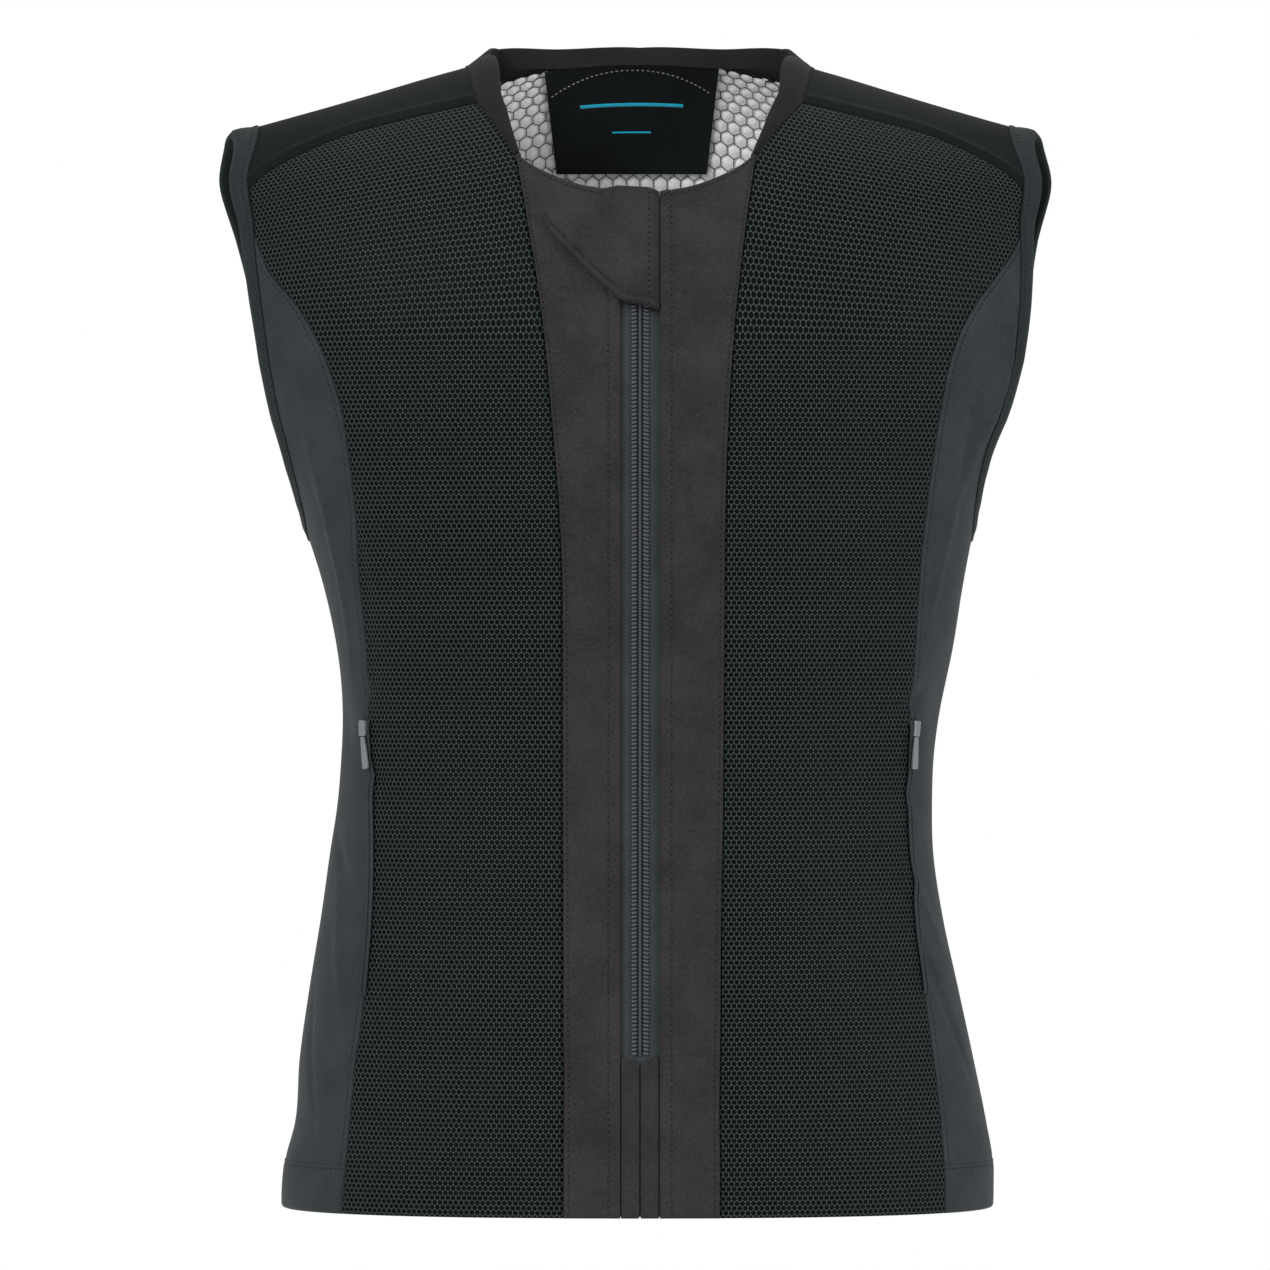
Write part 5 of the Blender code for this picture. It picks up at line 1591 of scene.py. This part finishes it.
def pocket_zip(side):
    """Two folded lips with a dark slit between them, over the pocket's zip."""
    name = SIDE_NAMES[side]
    heights = row_heights(-POCKET_TOP_DROP - POCKET_LENGTH, -POCKET_TOP_DROP, 0.002)
    seam = front_place(side, seam_x("side", side, heights), heights)
    normal = normals_at(side, seam)
    up = np.gradient(points_at(side, seam), axis=0)
    aside = unit(np.cross(normal, up))
    half = POCKET_ZIP_WIDTH / 2
    outer, level = np.array(LIP_SECTION).T
    across, level = np.append(-outer, outer[::-1]), np.append(level, level[::-1])
    grid = np.stack([shifted(side, seam, aside, k * half) for k in across], axis=1)
    ends = np.clip(np.minimum(heights - heights[0], heights[-1] - heights) / LIP_END_WIDTH, 0, 1)
    lift = SEAM_COVER_LIFT + POCKET_ZIP_WALL + level[None] - LIP_END_DROP * (1 - ends[:, None])
    points = placed(side, grid, lift)
    normals = normals_at(side, grid)
    piece = cloth(f"pocket_lips_{name}", points, normals, POCKET_ZIP_WALL * 0.9, softshell(),
                  cloth_map(side, grid))
    dress(piece, [f"pocket_zip_{name}"], "zip_tape")
    pocket_pull(side)


def pocket_pull(side):
    """A flat moulded pull, narrower at its top, with a dished face."""
    name = SIDE_NAMES[side]
    head = -POCKET_TOP_DROP - POCKET_SLIDER_LENGTH
    lift = SEAM_COVER_LIFT + POCKET_ZIP_WALL + GAP + LAYER_GAP
    where = seam_frame(side, head - GAP - PULL_LENGTH / 2, lift)
    deselect()
    bpy.ops.mesh.primitive_cube_add(size=1)
    piece = named(f"pull_{name}", painted_zinc())
    bpy.ops.transform.resize(value=(PULL_WIDTH, PULL_LENGTH, 0.0014))
    bpy.ops.object.transform_apply(location=False, rotation=False, scale=True)
    bpy.ops.object.mode_set(mode="EDIT")
    bpy.ops.mesh.subdivide(number_cuts=4)
    bpy.ops.object.mode_set(mode="OBJECT")
    for vert in piece.data.vertices:
        share = max(0.0, vert.co.y / PULL_LENGTH + 0.5)
        vert.co.x *= 1 - 0.42 * share ** 1.5
        vert.co.z += 0.0007 + 0.0003 * math.cos(vert.co.x / PULL_WIDTH * math.pi)
    soft = piece.modifiers.new("rounded edges", "SUBSURF")
    soft.levels = soft.render_levels = 2
    apply_all(piece)
    piece.data.transform(where)
    dress(piece, [f"pocket_puller_{name}"], "metal")


# Stitching


# Half a stitch's length as a share of the pitch, and its lift and dip in thread widths
STITCH_SHARE = 0.36
THREAD_LIFT = 0.22
THREAD_DIP = 0.35

# A needle hole's dimple, shorter along its seam than across it
HOLE_SIDES = 6
HOLE_RADIUS = 0.00042
HOLE_SHORTENED = 0.9
HOLE_TOP = 0.00016
HOLE_DEPTH = 0.0003

# The stitching beside the coils
COIL_STITCH_PITCH = 0.0018
COIL_THREAD = 0.0004

# The light arc on the facing: its reach to each side, and its place down the facing at its top and
# at its ends
ARC_REACH = 0.97
ARC_TOP = 0.06
ARC_FALL = 0.20
ARC_POWER = 2.2
ARC_PITCH = 0.0028
ARC_THREAD = 0.0007
ARC_STITCH_SHARE = 0.30


def stitch_places(lines, pitch, start):
    """Middles, ways along, ways aside and normals of the stitches on some lines."""
    found = []
    for points, normals in lines:
        run = runs_along(points)
        at = np.arange(pitch * start, run[-1] - pitch * 0.4, pitch)
        along = read_along(at + pitch / 3, run, points) - read_along(at - pitch / 3, run, points)
        found.append((read_along(at, run, points), unit(along), unit(read_along(at, run, normals))))
    middle, along, out = (np.concatenate(part) for part in zip(*found))
    return middle, along, np.cross(along, out), out


def sew(name, lines, pitch, width, material, slot, share=STITCH_SHARE):
    """Rows of stitches along lines, each a short thread that dips at both ends, as one piece."""
    shape, faces = ball(6)
    middle, along, aside, out = stitch_places(lines, pitch, 0.5)
    x, y, z = shape.T
    lift = z / 2 + THREAD_LIFT - x ** 2 * THREAD_DIP
    thread = np.column_stack([x * pitch * share, y * width / 2, lift * width])
    verts = copies(thread, middle, along, aside, out)
    dress(repeated_mesh(name, verts, faces, material), (), slot)


def needle_holes(name, lines, pitch, material):
    """Small dark dimples between the stitches, as one piece."""
    middle, along, aside, out = stitch_places(lines, pitch, 1.0)
    piece = rods(name, middle - out * HOLE_DEPTH, middle + out * HOLE_TOP,
                 along * HOLE_RADIUS * HOLE_SHORTENED, aside * HOLE_RADIUS, HOLE_SIDES, material)
    dress(piece, (), "black_cloth")


# Materials


def add(tree, kind, settings=(), links=()):
    """Adds a node with its settings and with links into its sockets."""
    node = tree.nodes.new(kind)
    for key, value in dict(settings).items():
        if isinstance(key, str) and hasattr(node, key):
            setattr(node, key, value)
        else:
            node.inputs[key].default_value = value
    for key, source in dict(links).items():
        tree.links.new(source, node.inputs[key])
    return node


def new_material(name, roughness, sheen=0.0, sheen_roughness=0.5, metallic=0.0, specular=0.05):
    """A material with only a shader and its output."""
    made = bpy.data.materials.new(name)
    made.use_nodes = True
    shader = made.node_tree.nodes["Principled BSDF"]
    for key, value in {"Roughness": roughness, "Sheen Weight": sheen, "Metallic": metallic,
                       "Sheen Roughness": sheen_roughness, "Specular IOR Level": specular}.items():
        shader.inputs[key].default_value = value
    return made, made.node_tree, shader


MADE = {}


def once(make):
    """Makes a material the first time it is asked for."""
    def made():
        if make.__name__ not in MADE:
            MADE[make.__name__] = make()
        return MADE[make.__name__]
    return made


def tinted(tree, source, colour, low, high):
    """A colour made darker and lighter by a grey value."""
    ramp = add(tree, "ShaderNodeMapRange", {"To Min": low, "To Max": high}, {"Value": source})
    return add(tree, "ShaderNodeVectorMath", {"operation": "SCALE", 0: tuple(colour)},
               {"Scale": ramp.outputs["Result"]}).outputs["Vector"]


def noise(tree, scale, detail, **more):
    """A cloud of grey values at the object's own coordinates."""
    place = add(tree, "ShaderNodeTexCoord").outputs["Object"]
    return add(tree, "ShaderNodeTexNoise", {"Scale": scale, "Detail": detail, **more},
               {"Vector": place}).outputs["Fac"]


def cell_field(tree, cell):
    """How far a point of the cloth's pattern is from the middle of its cell of a staggered net."""
    root = math.sqrt(3)
    flat = add(tree, "ShaderNodeUVMap")
    scaled = add(tree, "ShaderNodeVectorMath", {"operation": "DIVIDE", 1: (cell, cell * root, 1)},
                 {0: flat.outputs["UV"]})
    found = []
    for shift in (0.0, 0.5):
        moved = add(tree, "ShaderNodeVectorMath", {"operation": "ADD", 1: (shift, shift, 0)},
                    {0: scaled.outputs["Vector"]})
        part = add(tree, "ShaderNodeVectorMath", {"operation": "FRACTION"},
                   {0: moved.outputs["Vector"]})
        centred = add(tree, "ShaderNodeVectorMath", {"operation": "SUBTRACT", 1: (0.5, 0.5, 0)},
                      {0: part.outputs["Vector"]})
        sized = add(tree, "ShaderNodeVectorMath", {"operation": "MULTIPLY", 1: (1, root, 0)},
                    {0: centred.outputs["Vector"]})
        length = add(tree, "ShaderNodeVectorMath", {"operation": "LENGTH"},
                     {0: sized.outputs["Vector"]})
        found.append(length.outputs["Value"])
    return add(tree, "ShaderNodeMath", {"operation": "MINIMUM"},
               {0: found[0], 1: found[1]}).outputs["Value"]


def bump(tree, shader, height, strength, distance, before=None):
    """Joins a height to a shader as relief, on top of an earlier relief if there is one."""
    links = {"Height": height}
    if before is not None:
        links["Normal"] = before
    node = add(tree, "ShaderNodeBump", {"Strength": strength, "Distance": distance}, links)
    tree.links.new(node.outputs["Normal"], shader.inputs["Normal"])
    return node.outputs["Normal"]


@once
def air_mesh():
    # Knitted polyester spacer mesh: open round holes in staggered rows give matt black cloth with a
    # fine grid of painted shade in the holes, nearly black, and its filament yarn has a faint sheen.
    made, tree, shader = new_material("knitted air mesh", 0.62, sheen=0.02, sheen_roughness=0.4)
    field = cell_field(tree, sizes().hole_pitch)
    open_yarn = add(tree, "ShaderNodeMapRange", {"From Min": 0.36, "From Max": 0.50,
                                                 "interpolation_type": "SMOOTHSTEP"},
                    {"Value": field}).outputs["Result"]
    yarn = tinted(tree, noise(tree, 900.0, 2.0), colours().yarn, 0.6, 1.9)
    # The holes take the hole colour, painted shade in place of their depth
    colour = add(tree, "ShaderNodeMix", {"data_type": "RGBA", 6: (*colours().hole, 1)},
                 {0: open_yarn, 7: yarn})
    tree.links.new(colour.outputs[2], shader.inputs["Base Color"])
    bump(tree, shader, open_yarn, 0.9, 0.0008)
    return made


def woven(name, colour, roughness, sheen, thread, cloudy, relief):
    """A close-woven cloth: two sets of threads at right angles and slow patches of shade."""
    made, tree, shader = new_material(name, roughness, sheen=sheen, sheen_roughness=0.45)
    grain = noise(tree, 0.8 / thread, 3.0)
    patches = add(tree, "ShaderNodeMath", {"operation": "ADD"},
                  {0: noise(tree, 38.0, 4.0, Roughness=0.6), 1: grain})
    shade = add(tree, "ShaderNodeMapRange", {"From Min": 0.8, "From Max": 1.2,
                                             "To Min": 1 - cloudy, "To Max": 1 + cloudy},
                {"Value": patches.outputs["Value"]})
    tint = add(tree, "ShaderNodeVectorMath", {"operation": "SCALE", 0: tuple(colour)},
               {"Scale": shade.outputs["Result"]})
    tree.links.new(tint.outputs["Vector"], shader.inputs["Base Color"])
    flat = add(tree, "ShaderNodeUVMap").outputs["UV"]
    waves = []
    for turn in ("X", "Y"):
        wave = add(tree, "ShaderNodeTexWave", {"bands_direction": turn, "Scale": 0.314 / thread,
                                               "Distortion": 0.6, "Detail": 1.0},
                   {"Vector": flat})
        waves.append(wave.outputs["Fac"])
    weave = add(tree, "ShaderNodeMath", {"operation": "MULTIPLY"}, {0: waves[0], 1: waves[1]})
    slow = bump(tree, shader, grain, 0.25, relief * 2)
    bump(tree, shader, weave.outputs["Value"], 0.6, relief, slow)
    return made


@once
def softshell():
    # Bonded stretch softshell: a close polyester face with a dull, cool sheen along its folds.
    return woven("bonded softshell", colours().softshell, roughness=0.55, sheen=0.02,
                 thread=0.0009, cloudy=0.18, relief=0.00012)


@once
def charcoal():
    # The same softshell in a warmer, flatter charcoal.
    return woven("charcoal softshell", colours().charcoal, roughness=0.68, sheen=0.02,
                 thread=0.0010, cloudy=0.24, relief=0.00014)


@once
def yoke_softshell_painted_shade():
    # The side panels' softshell, which takes light dully, its colour darkened with painted shade so
    # the shoulders stay dark under the top light.
    return woven("brushed softshell", colours().yoke, roughness=0.75, sheen=0.02,
                 thread=0.0009, cloudy=0.12, relief=0.00012)


@once
def band_cloth():
    # Elastic charcoal cloth of the neck band, closer and darker than the plackets'.
    return woven("elastic band cloth", colours().band, roughness=0.72, sheen=0.02,
                 thread=0.0008, cloudy=0.14, relief=0.00010)


@once
def binding_knit():
    # Ribbed elastic knit: close ridges along the band, a little shine on each.
    return woven("ribbed elastic knit", colours().binding, roughness=0.60, sheen=0.02,
                 thread=0.0012, cloudy=0.12, relief=0.00025)


@once
def black_cloth():
    # Plain-woven black polyester facing, nearly without shine.
    return woven("plain-woven facing", colours().facing, roughness=0.80, sheen=0.02,
                 thread=0.0008, cloudy=0.15, relief=0.00010)


@once
def zip_tape():
    # Woven polyester tape with a herringbone face, drawn as coarse ribs of 1 mm.
    return woven("herringbone tape", colours().tape, roughness=0.62, sheen=0.03,
                 thread=0.0010, cloudy=0.14, relief=0.00018)


# The climbs between which the padding's drawn net comes in, just above the modelled net's end
DRAWN_NET = (-0.135, -0.150)


@once
def padding_cloth():
    # White brushed padding under a black knotted net: the net's lines follow the cells' edges, and
    # are drawn only below the neck, where the net isn't modelled.
    made, tree, shader = new_material("white padding under net", 0.85, sheen=0.3)
    field = cell_field(tree, sizes().net_cell)
    fluff = noise(tree, 420.0, 4.0)
    white = tinted(tree, fluff, colours().lining, 0.88, 1.12)
    line = add(tree, "ShaderNodeMapRange", {"From Min": 0.455, "From Max": 0.50,
                                            "interpolation_type": "SMOOTHSTEP"}, {"Value": field})
    pattern = add(tree, "ShaderNodeSeparateXYZ", {},
                  {"Vector": add(tree, "ShaderNodeUVMap").outputs["UV"]})
    below = add(tree, "ShaderNodeMapRange", {"From Min": DRAWN_NET[0], "From Max": DRAWN_NET[1]},
                {"Value": pattern.outputs["Y"]})
    drawn = add(tree, "ShaderNodeMath", {"operation": "MULTIPLY"},
                {0: line.outputs["Result"], 1: below.outputs["Result"]})
    colour = add(tree, "ShaderNodeMix", {"data_type": "RGBA", 7: (*colours().net, 1)},
                 {0: drawn.outputs["Value"], 6: white})
    tree.links.new(colour.outputs[2], shader.inputs["Base Color"])
    bump(tree, shader, fluff, 0.5, 0.0006)
    return made


def mottled(name, colour, cloud, shades, relief=None, **finish):
    """One colour broken by noise: its scale and detail, its two shades and perhaps its relief."""
    made, tree, shader = new_material(name, **finish)
    mottling = noise(tree, *cloud)
    tree.links.new(tinted(tree, mottling, colour, *shades), shader.inputs["Base Color"])
    if relief:
        bump(tree, shader, mottling, *relief)
    return made


def plain_fibre(name, colour, roughness, sheen, scale):
    """A thread or yarn: one colour, broken by its fine twist."""
    return mottled(name, colour, (scale, 2.0), (0.7, 1.3), (0.4, 0.0001), roughness=roughness,
                   sheen=sheen)


@once
def net_yarn():
    # Knotted polyester net.
    return plain_fibre("knotted net yarn", colours().net, roughness=0.55,
                       sheen=0.2, scale=1500.0)


@once
def sewing_thread():
    # Bonded polyester thread, a shade lighter than its needle holes.
    return plain_fibre("sewing thread", colours().thread, roughness=0.50,
                       sheen=0.2, scale=2500.0)


@once
def light_thread():
    # Grey polyester thread of the facing's arc.
    return plain_fibre("grey sewing thread", colours().light_thread, roughness=0.50,
                       sheen=0.2, scale=2500.0)


@once
def satin_thread():
    # Cyan rayon thread laid as a plain satin bar.
    return plain_fibre("cyan satin thread", colours().mark, roughness=0.35,
                       sheen=0.3, scale=2500.0)


@once
def needle_hole():
    # The shadow inside a needle hole.
    return plain_fibre("needle hole", colours().needle_hole, roughness=0.90,
                       sheen=0.0, scale=2000.0)


@once
def coil_nylon():
    # Extruded nylon monofilament wound into a coil, smooth and slightly glossy.
    return mottled("nylon coil filament", colours().coil, (300.0, 2.0), (0.8, 1.2),
                   roughness=0.32, specular=0.25)


@once
def painted_zinc():
    # Die-cast zinc with a satin paint: smooth, with a soft highlight and slight mottling.
    return mottled("painted zinc", colours().metal, (600.0, 3.0), (0.85, 1.1), (0.15, 0.0002),
                   roughness=0.35, metallic=0.6, specular=0.3)


@once
def studio_floor():
    # Matt painted studio floor.
    return mottled("matt studio floor", colours().floor, (3.0, 3.0), (0.97, 1.0), roughness=0.9)


# Stage

# The photograph is 1270 pixels wide, each 0.528 mm at the depth of FRAME_MIDDLE
FRAME_WIDTH = 1270 * 0.000528
FRAME_MIDDLE = (-0.0026, -0.06, -0.3031)
FLOOR_DROP = 0.80
FLOOR_RADIUS = 1.6
SENSOR_WIDTH = 36

# The lights: their names, their sizes and their places in metres
LIGHTS = (
    ("key", 1.6, (-1.9, -2.4, 1.5)),
    ("fill", 1.4, (2.3, -1.6, 0.3)),
    ("top", 1.6, (0.1, 0.9, 2.3)),
)


def stage():
    """The floor, the camera at the photograph's angle, the surround and three soft lights."""
    studio = bpy.context.scene.vest_studio
    deselect()
    bpy.ops.mesh.primitive_circle_add(vertices=96, radius=FLOOR_RADIUS, fill_type="NGON",
                                      location=(0, 0, -FLOOR_DROP))
    floor = named("studio_floor", studio_floor())
    bpy.ops.object.transform_apply(location=True, rotation=False, scale=False)
    x, y, z = FRAME_MIDDLE
    bpy.ops.object.camera_add(location=(x, -studio.camera_distance, z),
                              rotation=(math.pi / 2, 0, 0))
    camera = bpy.context.object
    camera.data.sensor_width = SENSOR_WIDTH
    camera.data.lens = SENSOR_WIDTH * (studio.camera_distance + y) / FRAME_WIDTH
    bpy.context.scene.camera = camera
    bpy.context.scene.view_settings.view_transform = "Standard"
    world = bpy.data.worlds.new("studio surround")
    world.use_nodes = True
    surround = world.node_tree.nodes["Background"]
    surround.inputs["Color"].default_value = (1, 1, 1, 1)
    seen = add(world.node_tree, "ShaderNodeLightPath").outputs["Is Camera Ray"]
    strength = add(world.node_tree, "ShaderNodeMapRange", {"To Min": studio.sky, "To Max": 1.0},
                   {"Value": seen})
    world.node_tree.links.new(strength.outputs["Result"], surround.inputs["Strength"])
    bpy.context.scene.world = world
    middle = Vector((0, 0, z))
    for name, size, where in LIGHTS:
        aim = (middle - Vector(where)).to_track_quat("-Z", "Y").to_euler()
        bpy.ops.object.light_add(type="AREA", location=where, rotation=aim)
        lamp = bpy.context.object
        lamp.name, lamp.data.size = f"{name} light", size
        lamp.data.energy = getattr(studio, f"{name}_power")


# Operators


def both(make):
    for side in (RIGHT, LEFT):
        make(side)


class VEST_OT_air_mesh(bpy.types.Operator):
    """Makes the air-mesh fronts and back"""
    bl_idname = "vest.air_mesh"
    bl_label = "Air mesh"

    def execute(self, context):
        both(front_mesh)
        back_panel()
        return {"FINISHED"}


class VEST_OT_softshell(bpy.types.Operator):
    """Makes the softshell yokes, side panels and hem bands"""
    bl_idname = "vest.softshell"
    bl_label = "Softshell"

    def execute(self, context):
        both(shoulder_yoke)
        both(side_panel)
        return {"FINISHED"}


class VEST_OT_plackets(bpy.types.Operator):
    """Makes the plackets, the zip's flap and its lower tabs"""
    bl_idname = "vest.plackets"
    bl_label = "Plackets and flap"

    def execute(self, context):
        both(placket)
        both(end_tab)
        zip_flap()
        return {"FINISHED"}


class VEST_OT_bands(bpy.types.Operator):
    """Makes the neck band and the armhole bindings"""
    bl_idname = "vest.bands"
    bl_label = "Bands"

    def execute(self, context):
        both(armhole_binding)
        neck_band()
        return {"FINISHED"}


class VEST_OT_lining(bpy.types.Operator):
    """Makes the padded lining, its net, the neck facing and its plain bars"""
    bl_idname = "vest.lining"
    bl_label = "Lining"

    def execute(self, context):
        lining()
        lining_net()
        facing()
        facing_marks()
        return {"FINISHED"}


class VEST_OT_zips(bpy.types.Operator):
    """Makes the main zip and the two pocket zips"""
    bl_idname = "vest.zips"
    bl_label = "Zips"

    def execute(self, context):
        both(main_zip)
        both(pocket_zip)
        for node in ("zip_slider", "pocket_slider_right", "pocket_slider_left"):
            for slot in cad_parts[node].material_slots:
                slot.material = painted_zinc()
        return {"FINISHED"}


class VEST_OT_stitching(bpy.types.Operator):
    """Sews the topstitching on every seam that has it"""
    bl_idname = "vest.stitching"
    bl_label = "Stitching"

    def execute(self, context):
        pitch, width = sizes().stitch_pitch, sizes().thread_width
        sew("topstitching", SEWN, pitch, width, sewing_thread(), "black_cloth")
        needle_holes("needle_holes", SEWN, pitch, needle_hole())
        sew("coil_stitching", SEWN_FINE, COIL_STITCH_PITCH, COIL_THREAD, sewing_thread(),
            "black_cloth")
        across = np.linspace(-ARC_REACH, ARC_REACH, 60)
        arc = facing_line(across, ARC_TOP + ARC_FALL * np.abs(across) ** ARC_POWER)
        sew("facing_arc", [arc], ARC_PITCH, ARC_THREAD, light_thread(), "white_lining",
            ARC_STITCH_SHARE)
        return {"FINISHED"}


class VEST_OT_stage(bpy.types.Operator):
    """Makes the floor, camera, surround and lights"""
    bl_idname = "vest.stage"
    bl_label = "Stage"

    def execute(self, context):
        stage()
        return {"FINISHED"}


OPERATORS = (VEST_OT_air_mesh, VEST_OT_softshell, VEST_OT_plackets, VEST_OT_bands,
             VEST_OT_lining, VEST_OT_zips, VEST_OT_stitching, VEST_OT_stage)


class VEST_PT_panel(bpy.types.Panel):
    """Lists the vest's groups of pieces with its sizes and colours"""
    bl_idname = "VEST_PT_panel"
    bl_label = "Airbag vest"
    bl_space_type = "VIEW_3D"
    bl_region_type = "UI"
    bl_category = "Vest"

    def draw(self, context):
        for operator in OPERATORS:
            self.layout.operator(operator.bl_idname)
        for group in (context.scene.vest_sizes, context.scene.vest_colours,
                      context.scene.vest_studio):
            box = self.layout.box()
            for name in group.__annotations__:
                box.prop(group, name)


GROUPS = {"vest_sizes": VestSizes, "vest_colours": VestColours, "vest_studio": VestStudio}


def register():
    for kind in (*GROUPS.values(), *OPERATORS, VEST_PT_panel):
        bpy.utils.register_class(kind)
    for name, kind in GROUPS.items():
        setattr(bpy.types.Scene, name, bpy.props.PointerProperty(type=kind))


def unregister():
    for name in GROUPS:
        delattr(bpy.types.Scene, name)
    for kind in (VEST_PT_panel, *reversed(OPERATORS), *GROUPS.values()):
        bpy.utils.unregister_class(kind)


def main():
    register()
    for operator in OPERATORS:
        group, name = operator.bl_idname.split(".")
        getattr(getattr(bpy.ops, group), name)()


if __name__ == "__main__":
    main()
